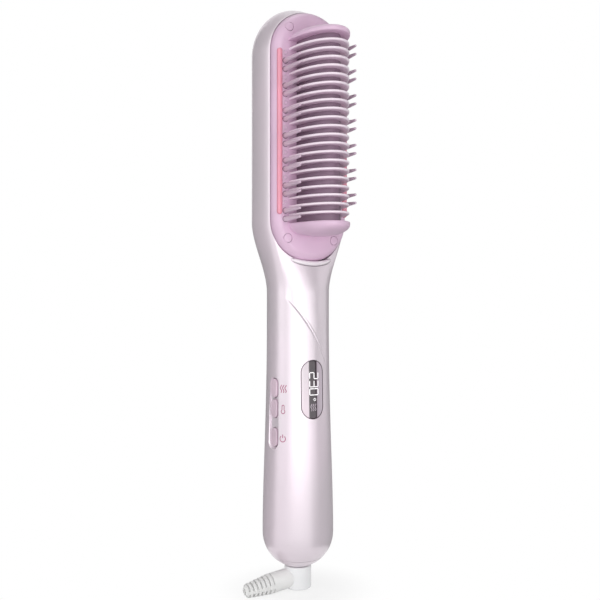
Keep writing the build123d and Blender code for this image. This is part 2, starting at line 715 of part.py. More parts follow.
# ---------------------------------------------------------------- face plate
with BuildPart() as face_plate:
    with BuildSketch(front_plane(PLATE_SKIRT)):
        add(face_slot(PLATE_HALF_WIDTH))
    extrude(amount=PLATE_FRONT - PLATE_SKIRT)
    fillet(face_plate.edges().group_by(Axis.Y)[0], PLATE_EDGE_RADIUS)
    with BuildSketch(front_plane(PLATE_SKIRT)):
        add(face_slot(PLATE_HALF_WIDTH - PLATE_WALL))
    extrude(amount=plate_back - PLATE_SKIRT, mode=Mode.SUBTRACT)
    for place in plug_places:
        add(front_cylinder(place, POST_RADIUS, PLATE_FRONT - PLUG_THICKNESS, post_front))
        add(
            front_cylinder(place, PLUG_RADIUS + SHAFT_GAP, PLATE_FRONT, plug_floor),
            mode=Mode.SUBTRACT,
        )
        add(
            front_cylinder(place, SCREW_SHAFT_RADIUS + SHAFT_GAP, plug_floor, post_front),
            mode=Mode.SUBTRACT,
        )
    # opening for the heater core
    add(
        front_block(
            CORE_HALF_WIDTH + SEAT_GAP, comb_low_z, comb_high_z, PLATE_FRONT, plate_back
        ),
        mode=Mode.SUBTRACT,
    )
    # holes for teeth, steam outlets and end cap screws
    for place in left_teeth + right_teeth:
        add(
            front_cylinder(place, TOOTH_ROOT_RADIUS + TOOTH_HOLE_GAP, PLATE_FRONT, plate_back),
            mode=Mode.SUBTRACT,
        )
    for place in left_outlets + right_outlets:
        add(front_cylinder(place, OUTLET_RADIUS, PLATE_FRONT, plate_back), mode=Mode.SUBTRACT)
    for place in cap_screw_places:
        add(
            front_cylinder(place, SCREW_SHAFT_RADIUS + SHAFT_GAP, PLATE_FRONT, plate_back),
            mode=Mode.SUBTRACT,
        )
    # grooves for the two side strips
    for side in (-1, 1):
        with BuildSketch(front_plane(PLATE_FRONT - STRIP_DEPTH)):
            with Locations((side * STRIP_X, COMB_MID_Z)):
                SlotOverall(STRIP_LENGTH + 2 * SEAT_GAP, STRIP_WIDTH + 2 * SEAT_GAP, rotation=90)
        extrude(amount=PLATE_EDGE_RADIUS, mode=Mode.SUBTRACT)
face_plate.part.label = "face_plate"
export_step(face_plate.part, "parts/face_plate.step")

with BuildPart() as screw_plugs:
    for place in plug_places:
        add(front_cylinder(place, PLUG_RADIUS, PLATE_FRONT, PLATE_FRONT - PLUG_THICKNESS))
screw_plugs.part.label = "screw_plugs"
export_step(screw_plugs.part, "parts/screw_plugs.step")

with BuildPart() as plate_screws:
    for place in plug_places:
        add(front_cylinder(place, SCREW_HEAD_RADIUS, plug_floor + SCREW_HEAD_HEIGHT, plug_floor))
        add(
            front_cylinder(
                place, SCREW_SHAFT_RADIUS, plug_floor, post_front - SCREW_LENGTH + SEAT_GAP
            )
        )
plate_screws.part.label = "plate_screws"
export_step(plate_screws.part, "parts/plate_screws.step")

for side, name in ((-1, "left"), (1, "right")):
    with BuildPart() as steam_strip:
        with BuildSketch(front_plane(PLATE_FRONT - STRIP_DEPTH)):
            with Locations((side * STRIP_X, COMB_MID_Z)):
                SlotOverall(STRIP_LENGTH, STRIP_WIDTH, rotation=90)
        extrude(amount=STRIP_DEPTH + STRIP_PROUD)
        fillet(steam_strip.edges().group_by(Axis.Y)[0], STRIP_WIDTH / 3)
    steam_strip.part.label = f"side_strip_{name}"
    export_step(steam_strip.part, f"parts/side_strip_{name}.step")

# ---------------------------------------------------------------- comb
with BuildPart() as comb_fins:
    with BuildSketch(*[Plane.XY.offset(COMB_MID_Z + offset) for offset in fin_offsets]):
        add(half_ellipse(FIN_HALF_WIDTH, FIN_REACH))
        add(half_ellipse(CORE_HALF_WIDTH + SEAT_GAP, CORE_REACH + SEAT_GAP), mode=Mode.SUBTRACT)
    extrude(amount=FIN_THICKNESS / 2, both=True)
comb_fins.part.label = "comb_fins"
export_step(comb_fins.part, "parts/comb_fins.step")

with BuildPart() as heater_core:
    with BuildSketch(Plane.XY.offset(comb_low_z)):
        add(half_ellipse(CORE_HALF_WIDTH, CORE_REACH))
        with Locations((0, -PLATE_FRONT)):
            Rectangle(
                2 * CORE_HALF_WIDTH,
                PLATE_FRONT - tray_front,
                align=(Align.CENTER, Align.MIN),
            )
        with Locations((0, -plate_back)):
            Rectangle(
                2 * CORE_FLANGE_HALF_WIDTH,
                LAYER,
                align=(Align.CENTER, Align.MIN),
            )
        with Locations((0, -tray_front)):
            Rectangle(
                2 * SLOT_HALF_WIDTH,
                PLATE_FRONT - tray_front + SLOT_REACH,
                align=(Align.CENTER, Align.MAX),
                mode=Mode.SUBTRACT,
            )
    extrude(amount=2 * COMB_HALF_LENGTH)
heater_core.part.label = "heater_core"
export_step(heater_core.part, "parts/heater_core.step")

slot_layers = (
    ("insulation_films", SLOT_HALF_WIDTH - WEDGE_THICKNESS, FILM_THICKNESS),
    ("electrode_plates", TILE_HALF_THICKNESS + ELECTRODE_THICKNESS, ELECTRODE_THICKNESS),
    ("clamp_wedges", SLOT_HALF_WIDTH, WEDGE_THICKNESS),
)
for name, outer_x, thickness in slot_layers:
    with BuildPart() as layer:
        with BuildSketch(Plane.XY.offset(COMB_MID_Z)):
            for side in (-1, 1):
                with Locations((side * (outer_x - thickness / 2), -PLATE_FRONT - SLOT_REACH)):
                    Rectangle(
                        thickness,
                        PLATE_FRONT + SLOT_REACH - tray_front,
                        align=(Align.CENTER, Align.MIN),
                    )
        extrude(amount=TILE_PITCH * TILE_COUNT / 2, both=True)
    layer.part.label = name
    export_step(layer.part, f"parts/{name}.step")

with BuildPart() as ptc_tiles:
    tile_zs = [COMB_MID_Z + TILE_PITCH * (i - (TILE_COUNT - 1) / 2) for i in range(TILE_COUNT)]
    with BuildSketch(*[Plane.XY.offset(z) for z in tile_zs]):
        with Locations((0, -PLATE_FRONT - SLOT_REACH)):
            Rectangle(
                2 * TILE_HALF_THICKNESS,
                SLOT_REACH,
                align=(Align.CENTER, Align.MIN),
            )
    extrude(amount=TILE_LENGTH / 2, both=True)
ptc_tiles.part.label = "ptc_tiles"
export_step(ptc_tiles.part, "parts/ptc_tiles.step")

for end, name in ((1, "top"), (-1, "bottom")):
    with BuildPart() as comb_end:
        with BuildSketch(Plane.XY.offset(COMB_MID_Z + end * COMB_HALF_LENGTH)):
            add(half_ellipse(END_HALF_WIDTH, END_REACH))
        extrude(amount=end * END_FOOT_DEPTH)
        # the outer face slopes from the rim down to the plate
        with BuildSketch(Plane.YZ):
            with BuildLine():
                Polyline(
                    (-PLATE_FRONT, COMB_MID_Z + end * COMB_HALF_LENGTH),
                    (-PLATE_FRONT - END_REACH, COMB_MID_Z + end * COMB_HALF_LENGTH),
                    (
                        -PLATE_FRONT - END_REACH,
                        COMB_MID_Z + end * (COMB_HALF_LENGTH + END_RIM_DEPTH),
                    ),
                    (-PLATE_FRONT, COMB_MID_Z + end * (COMB_HALF_LENGTH + END_FOOT_DEPTH)),
                    close=True,
                )
            make_face()
        extrude(amount=END_HALF_WIDTH, both=True, mode=Mode.INTERSECT)
        # and its sides narrow from the rim to the foot
        with BuildSketch(front_plane(PLATE_FRONT)):
            with BuildLine():
                Polyline(
                    (-END_HALF_WIDTH, COMB_MID_Z + end * COMB_HALF_LENGTH),
                    (END_HALF_WIDTH, COMB_MID_Z + end * COMB_HALF_LENGTH),
                    (END_HALF_WIDTH, COMB_MID_Z + end * (COMB_HALF_LENGTH + END_RIM_DEPTH / 2)),
                    (END_FOOT_HALF_WIDTH, COMB_MID_Z + end * (COMB_HALF_LENGTH + END_FOOT_DEPTH)),
                    (-END_FOOT_HALF_WIDTH, COMB_MID_Z + end * (COMB_HALF_LENGTH + END_FOOT_DEPTH)),
                    (-END_HALF_WIDTH, COMB_MID_Z + end * (COMB_HALF_LENGTH + END_RIM_DEPTH / 2)),
                    close=True,
                )
            make_face()
        extrude(amount=END_REACH, mode=Mode.INTERSECT)
        for place in cap_screw_places:
            add(
                front_cylinder(
                    place, SCREW_SHAFT_RADIUS + SHAFT_GAP, PLATE_FRONT + CAP_SCREW_BITE, PLATE_FRONT
                ),
                mode=Mode.SUBTRACT,
            )
    comb_end.part.label = f"comb_end_{name}"
    export_step(comb_end.part, f"parts/comb_end_{name}.step")

for side, name, teeth, outlets in (
    (-1, "left", left_teeth, left_outlets),
    (1, "right", right_teeth, right_outlets),
):
    with BuildPart() as tooth_bar:
        with BuildSketch(front_plane(tray_front)):
            with Locations((side * TOOTH_X, COMB_MID_Z)):
                Rectangle(TOOTH_BAR_WIDTH, 2 * COMB_HALF_LENGTH)
        extrude(amount=LAYER)
        with Locations(*[(x, -plate_back + LAYER / 2, z) for x, z in teeth]):
            Cone(
                TOOTH_ROOT_RADIUS,
                TOOTH_TIP_RADIUS,
                PLATE_WALL + LAYER / 2 + TOOTH_REACH - TOOTH_TIP_RADIUS,
                rotation=(90, 0, 0),
                align=(Align.CENTER, Align.CENTER, Align.MIN),
            )
        with Locations(*[(x, TOOTH_TIP_RADIUS - PLATE_FRONT - TOOTH_REACH, z) for x, z in teeth]):
            Sphere(TOOTH_TIP_RADIUS)
        for place in outlets:
            add(front_cylinder(place, OUTLET_RADIUS, plate_back, tray_front), mode=Mode.SUBTRACT)
    tooth_bar.part.label = f"tooth_bar_{name}"
    export_step(tooth_bar.part, f"parts/tooth_bar_{name}.step")

with BuildPart() as heater_tray:
    with BuildSketch(front_plane(tray_back)):
        add(face_slot(TRAY_HALF_WIDTH))
        with Locations((0, COMB_MID_Z)):
            Rectangle(2 * TRAY_HALF_WIDTH, 2 * TRAY_END, mode=Mode.INTERSECT)
            Rectangle(2 * TRAY_WINDOW_HALF_WIDTH, COMB_HALF_LENGTH, mode=Mode.SUBTRACT)
        with Locations(*plug_places):
            Circle(POST_RADIUS + RUN_GAP, mode=Mode.SUBTRACT)
        with Locations(*left_outlets, *right_outlets):
            Circle(OUTLET_RADIUS, mode=Mode.SUBTRACT)
    extrude(amount=TRAY_THICKNESS)
    # pads that reach the plate beyond the ends of the core
    for end in (-1, 1):
        pad_z = COMB_MID_Z + end * (COMB_HALF_LENGTH + END_FOOT_DEPTH / 2)
        with BuildSketch(front_plane(tray_front)):
            with Locations((0, pad_z)):
                Rectangle(2 * PAD_HALF_WIDTH, END_FOOT_DEPTH - 2 * RUN_GAP)
        extrude(amount=LAYER)
    for place in cap_screw_places:
        add(
            front_cylinder(place, SCREW_SHAFT_RADIUS + SHAFT_GAP, plate_back, tray_back),
            mode=Mode.SUBTRACT,
        )
heater_tray.part.label = "heater_tray"
export_step(heater_tray.part, "parts/heater_tray.step")

with BuildPart() as cap_screws:
    for place in cap_screw_places:
        add(front_cylinder(place, SCREW_HEAD_RADIUS, tray_back, tray_back - SCREW_HEAD_HEIGHT))
        add(
            front_cylinder(
                place, SCREW_SHAFT_RADIUS, PLATE_FRONT + CAP_SCREW_BITE - SEAT_GAP, tray_back
            )
        )
cap_screws.part.label = "cap_screws"
export_step(cap_screws.part, "parts/cap_screws.step")

with BuildPart() as shell_screws:
    for z in SHELL_SCREW_ZS:
        add(
            front_cylinder(
                (0, z), SCREW_HEAD_RADIUS, -SCREW_SEAT_Y, -SCREW_SEAT_Y - SCREW_HEAD_HEIGHT
            )
        )
        add(front_cylinder((0, z), SCREW_SHAFT_RADIUS, SCREW_LENGTH - SCREW_SEAT_Y, -SCREW_SEAT_Y))
shell_screws.part.label = "shell_screws"
export_step(shell_screws.part, "parts/shell_screws.step")

# ---------------------------------------------------------------- steam generator
for side, name, outlets in ((-1, "left", left_outlets), (1, "right", right_outlets)):
    with BuildPart() as steam_rail:
        with BuildSketch(front_plane(tray_back - RAIL_DEPTH)):
            with Locations((side * TOOTH_X, COMB_MID_Z)):
                Rectangle(RAIL_WIDTH, 2 * COMB_HALF_LENGTH)
        extrude(amount=RAIL_DEPTH)
        with BuildSketch(front_plane(tray_back - RAIL_DEPTH + RAIL_WALL)):
            with Locations((side * TOOTH_X, COMB_MID_Z)):
                Rectangle(RAIL_WIDTH - 2 * RAIL_WALL, 2 * (COMB_HALF_LENGTH - RAIL_WALL))
        extrude(amount=RAIL_DEPTH - 2 * RAIL_WALL, mode=Mode.SUBTRACT)
        for place in outlets:
            add(
                front_cylinder(place, OUTLET_RADIUS, tray_back, tray_back - RAIL_WALL),
                mode=Mode.SUBTRACT,
            )
        # inlet from the steam tube
        with BuildSketch(Plane.YZ.offset(side * TOOTH_X)):
            with Locations((-rail_mid, STEAM_TUBE_Z)):
                Circle(STEAM_TUBE_RADIUS - RAIL_WALL / 2)
        extrude(amount=-side * RAIL_WIDTH, mode=Mode.SUBTRACT)
    steam_rail.part.label = f"steam_rail_{name}"
    export_step(steam_rail.part, f"parts/steam_rail_{name}.step")

with BuildPart() as water_tank:
    with BuildSketch(Plane.XY.offset(TANK_LOW_Z)) as tank_outline:
        with Locations((0, tank_back)):
            Rectangle(2 * TANK_HALF_WIDTH, TANK_DEPTH, align=(Align.CENTER, Align.MAX))
        fillet(tank_outline.vertices().group_by(Axis.Y)[-1], TANK_CORNER)
    extrude(amount=TANK_HIGH_Z - TANK_LOW_Z)
    with BuildSketch(Plane.XY.offset(TANK_LOW_Z + TANK_WALL)) as tank_room:
        with Locations((0, tank_back - TANK_WALL)):
            Rectangle(
                2 * (TANK_HALF_WIDTH - TANK_WALL),
                TANK_DEPTH - 2 * TANK_WALL,
                align=(Align.CENTER, Align.MAX),
            )
        fillet(tank_room.vertices().group_by(Axis.Y)[-1], TANK_CORNER - TANK_WALL)
    extrude(amount=TANK_HIGH_Z - TANK_LOW_Z - 2 * TANK_WALL, mode=Mode.SUBTRACT)
    # mouth under the filling hole, and the outlet to the pump
    add(
        front_cylinder(
            (0, FILL_Z), FILL_RADIUS + RUN_GAP, -tank_back + 2 * TANK_WALL, -HEAD_BACK
        ),
        mode=Mode.SUBTRACT,
    )
    with BuildSketch(Plane.XY.offset(TANK_LOW_Z)):
        with Locations((0, pump_mid_y)):
            Circle(WATER_TUBE_RADIUS / 2)
    extrude(amount=TANK_WALL, mode=Mode.SUBTRACT)
water_tank.part.label = "water_tank"
export_step(water_tank.part, "parts/water_tank.step")

with BuildPart() as water_tube:
    with BuildSketch(Plane.XY.offset(PUMP_HIGH_Z)):
        with Locations((0, pump_mid_y)):
            Circle(WATER_TUBE_RADIUS)
            Circle(WATER_TUBE_RADIUS / 2, mode=Mode.SUBTRACT)
    extrude(amount=TANK_LOW_Z - PUMP_HIGH_Z)
water_tube.part.label = "water_tube"
export_step(water_tube.part, "parts/water_tube.step")

with BuildPart() as steam_pump:
    with BuildSketch(Plane.XY.offset(PUMP_LOW_Z)):
        with Locations((0, head_inner_back)):
            Rectangle(2 * PUMP_HALF_WIDTH, PUMP_DEPTH, align=(Align.CENTER, Align.MAX))
    extrude(amount=PUMP_HIGH_Z - PUMP_LOW_Z)
    fillet(steam_pump.edges().filter_by(Axis.Z), PUMP_EDGE_RADIUS)
steam_pump.part.label = "steam_pump"
export_step(steam_pump.part, "parts/steam_pump.step")

with BuildPart() as steam_tubes:
    for side in (-1, 1):
        with BuildLine() as tube_path:
            FilletPolyline(
                (side * STEAM_TUBE_X, head_inner_back - PUMP_DEPTH, STEAM_TUBE_Z),
                (side * STEAM_TUBE_X, -rail_mid, STEAM_TUBE_Z),
                (side * (TOOTH_X - RAIL_WIDTH / 2), -rail_mid, STEAM_TUBE_Z),
                radius=STEAM_TUBE_BEND,
            )
        with BuildSketch(tube_path.line ^ 0):
            Circle(STEAM_TUBE_RADIUS)
        sweep(path=tube_path.line)
steam_tubes.part.label = "steam_tubes"
export_step(steam_tubes.part, "parts/steam_tubes.step")

with BuildPart() as fill_plug:
    add(
        front_cylinder(
            (0, FILL_Z), FILL_HEAD_RADIUS, -HEAD_BACK + FILL_HEAD_THICKNESS, -HEAD_BACK
        )
    )
    add(
        front_cylinder(
            (0, FILL_Z), FILL_RADIUS, -HEAD_BACK + FILL_STEM, -HEAD_BACK + FILL_HEAD_THICKNESS
        )
    )
fill_plug.part.label = "fill_plug"
export_step(fill_plug.part, "parts/fill_plug.step")

with BuildPart() as thermal_fuse:
    with BuildSketch(Plane.XY.offset(SENSOR_Z)):
        with Locations((SENSOR_X, -tray_back + FUSE_LINK_RADIUS)):
            Circle(FUSE_LINK_RADIUS)
    extrude(amount=FUSE_LINK_LENGTH)
thermal_fuse.part.label = "thermal_fuse"
export_step(thermal_fuse.part, "parts/thermal_fuse.step")

with BuildPart() as thermistor:
    with Locations((-SENSOR_X, -tray_back, SENSOR_Z)):
        Box(*THERMISTOR_SIZE, align=(Align.CENTER, Align.MIN, Align.MIN))
thermistor.part.label = "thermistor"
export_step(thermistor.part, "parts/thermistor.step")

# ---------------------------------------------------------------- display
with BuildPart() as display_lens:
    with BuildSketch(front_plane(0)):
        with Locations((0, WINDOW_Z)):
            SlotOverall(WINDOW_LENGTH, WINDOW_WIDTH, rotation=90)
    extrude(amount=GRIP_RADIUS + WALL)
    add(grip_outer, mode=Mode.INTERSECT)
    add(grip_form(LENS_THICKNESS), mode=Mode.SUBTRACT)
display_lens.part.label = "display_lens"
export_step(display_lens.part, "parts/display_lens.step")

with BuildPart() as display_pcb:
    add(
        front_block(
            DISPLAY_PCB_HALF_WIDTH,
            WINDOW_Z - DISPLAY_PCB_LENGTH / 2,
            WINDOW_Z + DISPLAY_PCB_LENGTH / 2,
            DISPLAY_PCB_FRONT,
            DISPLAY_PCB_FRONT - DISPLAY_PCB_THICKNESS,
        )
    )
display_pcb.part.label = "display_pcb"
export_step(display_pcb.part, "parts/display_pcb.step")

with BuildPart() as display_module:
    add(
        front_block(
            MODULE_HALF_WIDTH,
            WINDOW_Z - MODULE_LENGTH / 2,
            WINDOW_Z + MODULE_LENGTH / 2,
            MODULE_FRONT,
            DISPLAY_PCB_FRONT,
        )
    )
display_module.part.label = "display_module"
export_step(display_module.part, "parts/display_module.step")

# ---------------------------------------------------------------- buttons
for name, z in BUTTON_PLACES.items():
    with BuildPart() as button:
        with BuildSketch(button_plane.offset(flange_low)):
            with Locations((z, 0)):
                Rectangle(BUTTON_LENGTH, BUTTON_WIDTH + 2 * FLANGE_WIDER)
        extrude(amount=FLANGE_THICKNESS)
        with BuildSketch(button_plane.offset(flange_top)):
            with Locations((z, 0)):
                SlotOverall(BUTTON_LENGTH, BUTTON_WIDTH)
        extrude(amount=GRIP_RADIUS - BUTTON_BELOW_GRIP - flange_top)
        fillet(button.faces().sort_by(button_plane_axis)[-1].edges(), BUTTON_EDGE_RADIUS)
        with BuildSketch(button_plane.offset(stem_low)):
            with Locations((z, 0)):
                Circle(STEM_RADIUS)
        extrude(amount=STEM_LENGTH)
    button.part.label = f"button_{name}"
    export_step(button.part, f"parts/button_{name}.step")

with BuildPart() as button_pcb:
    with BuildSketch(button_plane.offset(button_pcb_face - BUTTON_PCB_THICKNESS)):
        with Locations((RECESS_Z, 0)):
            Rectangle(BUTTON_PCB_LENGTH, BUTTON_PCB_WIDTH)
    extrude(amount=BUTTON_PCB_THICKNESS)
button_pcb.part.label = "button_pcb"
export_step(button_pcb.part, "parts/button_pcb.step")

with BuildPart() as tactile_switches:
    with BuildSketch(button_plane.offset(button_pcb_face)):
        with Locations(*[(z, 0) for z in BUTTON_PLACES.values()]):
            Rectangle(SWITCH_SIDE, SWITCH_SIDE)
    extrude(amount=SWITCH_HEIGHT)
    with BuildSketch(button_plane.offset(switch_top)):
        with Locations(*[(z, 0) for z in BUTTON_PLACES.values()]):
            Circle(PLUNGER_RADIUS)
    extrude(amount=PLUNGER_HEIGHT)
tactile_switches.part.label = "tactile_switches"
export_step(tactile_switches.part, "parts/tactile_switches.step")

# ---------------------------------------------------------------- power board
with BuildPart() as power_board:
    add(front_block(BOARD_HALF_WIDTH, BOARD_LOW_Z, BOARD_HIGH_Z, -BOARD_Y, -board_back))
power_board.part.label = "power_board"
export_step(power_board.part, "parts/power_board.step")

for name, size, z in (
    ("filter_capacitor", CAPACITOR_SIZE, CAPACITOR_Z),
    ("heat_sink", SINK_SIZE, SINK_Z),
):
    with BuildPart() as component:
        with Locations((0, board_back, z)):
            Box(*size, align=(Align.CENTER, Align.MIN, Align.CENTER))
        if name == "heat_sink":
            with Locations(*[(x, board_back + SINK_BASE, z) for x in SINK_SLOT_XS]):
                Box(
                    SINK_SLOT_WIDTH,
                    size[1],
                    size[2],
                    align=(Align.CENTER, Align.MIN, Align.CENTER),
                    mode=Mode.SUBTRACT,
                )
    component.part.label = name
    export_step(component.part, f"parts/{name}.step")

with BuildPart() as mains_fuse:
    with BuildSketch(Plane.XY.offset(FUSE_Z - FUSE_LENGTH / 2)):
        with Locations((0, board_back + FUSE_RADIUS)):
            Circle(FUSE_RADIUS)
    extrude(amount=FUSE_LENGTH)
mains_fuse.part.label = "mains_fuse"
export_step(mains_fuse.part, "parts/mains_fuse.step")

# ---------------------------------------------------------------- wires
with BuildPart() as power_leads:
    with BuildSketch(Plane.XY.offset(SPIGOT_TOP_Z + SLIP_DISC_THICKNESS)):
        with Locations(*[(side * POWER_LEAD_X, board_mid_y) for side in (-1, 1)]):
            Circle(LEAD_RADIUS)
    extrude(amount=BOARD_LOW_Z - SPIGOT_TOP_Z - SLIP_DISC_THICKNESS)
power_leads.part.label = "power_leads"
export_step(power_leads.part, "parts/power_leads.step")

with BuildPart() as heater_leads:
    for side in (-1, 1):
        with BuildLine() as lead_path:
            FilletPolyline(
                (side * HEATER_LEAD_X, board_mid_y, BOARD_HIGH_Z),
                (side * HEATER_LEAD_X, board_mid_y, HEATER_LEAD_Z),
                (side * HEATER_LEAD_X, -tray_back, HEATER_LEAD_Z),
                radius=HEATER_LEAD_BEND,
            )
        with BuildSketch(lead_path.line ^ 0):
            Circle(LEAD_RADIUS)
        sweep(path=lead_path.line)
heater_leads.part.label = "heater_leads"
export_step(heater_leads.part, "parts/heater_leads.step")
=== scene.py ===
import json
import logging
import math
from collections.abc import Callable, Mapping, Sequence
from dataclasses import dataclass, field, replace
from enum import Enum

import bmesh
import bpy
import numpy as np
from mathutils import Matrix, Vector
from mathutils.bvhtree import BVHTree
from mathutils.interpolate import poly_3d_calc


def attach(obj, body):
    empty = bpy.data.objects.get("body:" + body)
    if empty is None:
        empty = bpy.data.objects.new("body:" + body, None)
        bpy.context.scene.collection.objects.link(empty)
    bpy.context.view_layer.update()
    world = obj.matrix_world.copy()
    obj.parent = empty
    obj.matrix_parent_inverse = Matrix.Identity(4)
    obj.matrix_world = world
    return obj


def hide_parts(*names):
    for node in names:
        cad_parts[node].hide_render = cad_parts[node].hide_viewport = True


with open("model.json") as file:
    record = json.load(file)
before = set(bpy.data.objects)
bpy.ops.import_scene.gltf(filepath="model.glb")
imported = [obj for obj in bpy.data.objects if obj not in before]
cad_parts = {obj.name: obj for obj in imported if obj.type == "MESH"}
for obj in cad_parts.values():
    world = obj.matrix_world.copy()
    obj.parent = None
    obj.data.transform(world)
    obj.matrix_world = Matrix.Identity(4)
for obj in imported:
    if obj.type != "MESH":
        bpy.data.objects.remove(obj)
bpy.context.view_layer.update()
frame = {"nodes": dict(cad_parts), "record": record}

log = logging.getLogger("brush")

MM = 0.001
WHITE = (1, 1, 1, 1)
SIDES = ((-1, "left"), (1, "right"))
TO_FRONT = Matrix.Rotation(math.radians(90), 4, "X")
TO_BACK = Matrix.Rotation(math.radians(-90), 4, "X")
Item = bpy.types.Object
Socket = bpy.types.NodeSocket
Pair = tuple[float, float]
Triple = tuple[float, float, float]
Array = np.ndarray
Place = Callable[[Array, Array, Array], Array]


# ---------------------------------------------------------------- shader building
def tint(*screen: float) -> tuple[float, ...]:
    """Turns a screen colour of 0 to 255 into the renderer's linear colour."""
    shares = [value / 255 for value in screen]
    return (*(s / 12.92 if s <= 0.04045 else ((s + 0.055) / 1.055) ** 2.4 for s in shares), 1.0)


def math_node(operation: str, flipped: bool = False) -> "Callable[..., Value]":
    """Makes a method that adds one Math node.

    Args:
        operation: the node's operation.
        flipped: whether the value itself comes last.

    Returns:
        The method.
    """
    def method(self: "Value", *others: "Value | float") -> "Value":
        """Adds the node and hands out its result."""
        values = (*others, self) if flipped else (self, *others)
        node = self.maker.make("ShaderNodeMath", dict(enumerate(values)), operation=operation)
        return Value(self.maker, node.outputs[0])
    return method


class Value:
    """A shader number that takes arithmetic, so that maths reads as an expression."""

    def __init__(self, maker: "NodeMaker", socket: Socket) -> None:
        """Keeps the socket and the maker of its tree."""
        self.maker = maker
        self.socket = socket

    __add__ = __radd__ = math_node("ADD")
    __sub__, __rsub__ = math_node("SUBTRACT"), math_node("SUBTRACT", flipped=True)
    __mul__ = __rmul__ = math_node("MULTIPLY")
    __truediv__, __rtruediv__ = math_node("DIVIDE"), math_node("DIVIDE", flipped=True)
    __pow__, __rpow__ = math_node("POWER"), math_node("POWER", flipped=True)
    modulo = math_node("MODULO")
    larger = math_node("MAXIMUM")
    size = math_node("ABSOLUTE")

    def ramp(self, low: float, high: float) -> "Value":
        """Smooth step from 0 at low to 1 at high.

        Args:
            low: where it leaves 0.
            high: where it reaches 1.

        Returns:
            The stepped number.
        """
        inputs = {"Value": self, "From Min": low, "From Max": high}
        node = self.maker.make("ShaderNodeMapRange", inputs, interpolation_type="SMOOTHSTEP")
        return Value(self.maker, node.outputs[0])


class NodeMaker:
    """Adds nodes to one tree, each with its settings first and its inputs after."""

    def __init__(self, tree: bpy.types.NodeTree) -> None:
        """Keeps the tree."""
        self.tree = tree

    @classmethod
    def of(cls, owner: bpy.types.Material | bpy.types.World) -> "NodeMaker":
        """Empties the node tree of a material or world.

        Args:
            owner: the material or world.

        Returns:
            The maker for its tree.
        """
        owner.use_nodes = True
        owner.node_tree.nodes.clear()
        return cls(owner.node_tree)

    def make(self, kind: str, inputs: Mapping[str | int, object] | None = None,
             **settings: object) -> bpy.types.Node:
        """Adds a node.

        Args:
            kind: the node's type.
            inputs: values, sockets or Values for its inputs, by name or index.
            settings: its properties, which are set first.

        Returns:
            The new node.
        """
        node = self.tree.nodes.new(kind)
        for key, value in settings.items():
            setattr(node, key, value)
        for key, value in (inputs or {}).items():
            value = value.socket if isinstance(value, Value) else value
            if isinstance(value, Socket):
                self.tree.links.new(value, node.inputs[key])
            else:
                node.inputs[key].default_value = value
        return node

    def mix(self, share: Value | float, first: object, second: object) -> Socket:
        """Blends two colours, from the first at share 0 to the second at share 1."""
        inputs = {0: share, 6: first, 7: second}
        return self.make("ShaderNodeMix", inputs, data_type="RGBA").outputs[2]

    def place(self) -> Socket:
        """The point on the object, in metres."""
        return self.make("ShaderNodeTexCoord").outputs["Object"]

    def axes(self) -> tuple[Value, Value, Value]:
        """The point's X, Y and Z."""
        split = self.make("ShaderNodeSeparateXYZ", {0: self.place()})
        return tuple(Value(self, split.outputs[i]) for i in range(3))

    def noise(self, size: float, detail: float = 2.0, stretch: Triple = (1, 1, 1)) -> Value:
        """Soft random pattern.

        Args:
            size: about the width of one blotch, in metres.
            detail: how much finer structure it has.
            stretch: how much each axis is squeezed.

        Returns:
            A number round 0.5.
        """
        mapped = self.make("ShaderNodeMapping", {"Vector": self.place(), "Scale": stretch})
        inputs = {"Vector": mapped.outputs[0], "Scale": 1 / size, "Detail": detail}
        return Value(self, self.make("ShaderNodeTexNoise", inputs).outputs[0])

    def clouds(self, size: float, first: object, second: object) -> Socket:
        """Blends two colours in soft blotches of about a size in metres."""
        return self.mix(self.noise(size).ramp(0.3, 0.7), first, second)


# ---------------------------------------------------------------- finishes
@dataclass(frozen=True)
class Moulding:
    """Moulded or coated surface with faint colour drift, uneven gloss and fine grain."""

    name: str
    colour: Triple
    roughness: float = 0.4
    metallic: float = 0.0
    drift: float = 0.06          # how much the colour varies
    drift_size: float = 0.02
    gloss_drift: float = 0.08
    grain_size: float = 0.0004
    grain_depth: float = 0.000006
    coat: float = 0.0
    coat_roughness: float = 0.1
    alpha: float = 1.0
    glow: float = 0.0            # share of light let through from inside
    glow_depth: float = 0.002

    def colour_socket(self, maker: NodeMaker) -> Socket:
        """Base colour with its drift.

        Args:
            maker: of the material's tree.

        Returns:
            The colour's socket.
        """
        deep = tint(*[c * (1 - self.drift) for c in self.colour])
        return maker.clouds(self.drift_size, deep, tint(*self.colour))

    def height(self, maker: NodeMaker) -> Value:
        """Grain height from 0 to 1."""
        return maker.noise(self.grain_size, 3.0)

    def inputs(self, maker: NodeMaker) -> dict[str, object]:
        """Lays the nodes in front of the shader.

        Args:
            maker: of the material's tree.

        Returns:
            The shader's inputs.
        """
        gloss = maker.noise(self.drift_size / 3, 3.0)
        relief = {"Strength": 1.0, "Distance": self.grain_depth, "Height": self.height(maker)}
        return {
            "Base Color": self.colour_socket(maker),
            "Roughness": gloss * self.gloss_drift + (self.roughness - self.gloss_drift / 2),
            "Metallic": self.metallic,
            "Normal": maker.make("ShaderNodeBump", relief).outputs[0],
            "Coat Weight": self.coat,
            "Coat Roughness": self.coat_roughness,
            "Alpha": self.alpha,
            "Subsurface Weight": self.glow,
            "Subsurface Scale": self.glow_depth,
        }

    def material(self) -> bpy.types.Material:
        """Builds the shader.

        Returns:
            The material.
        """
        made = bpy.data.materials.new(self.name)
        maker = NodeMaker.of(made)
        shader = maker.make("ShaderNodeBsdfPrincipled", self.inputs(maker))
        maker.make("ShaderNodeOutputMaterial", {0: shader.outputs[0]})
        return made


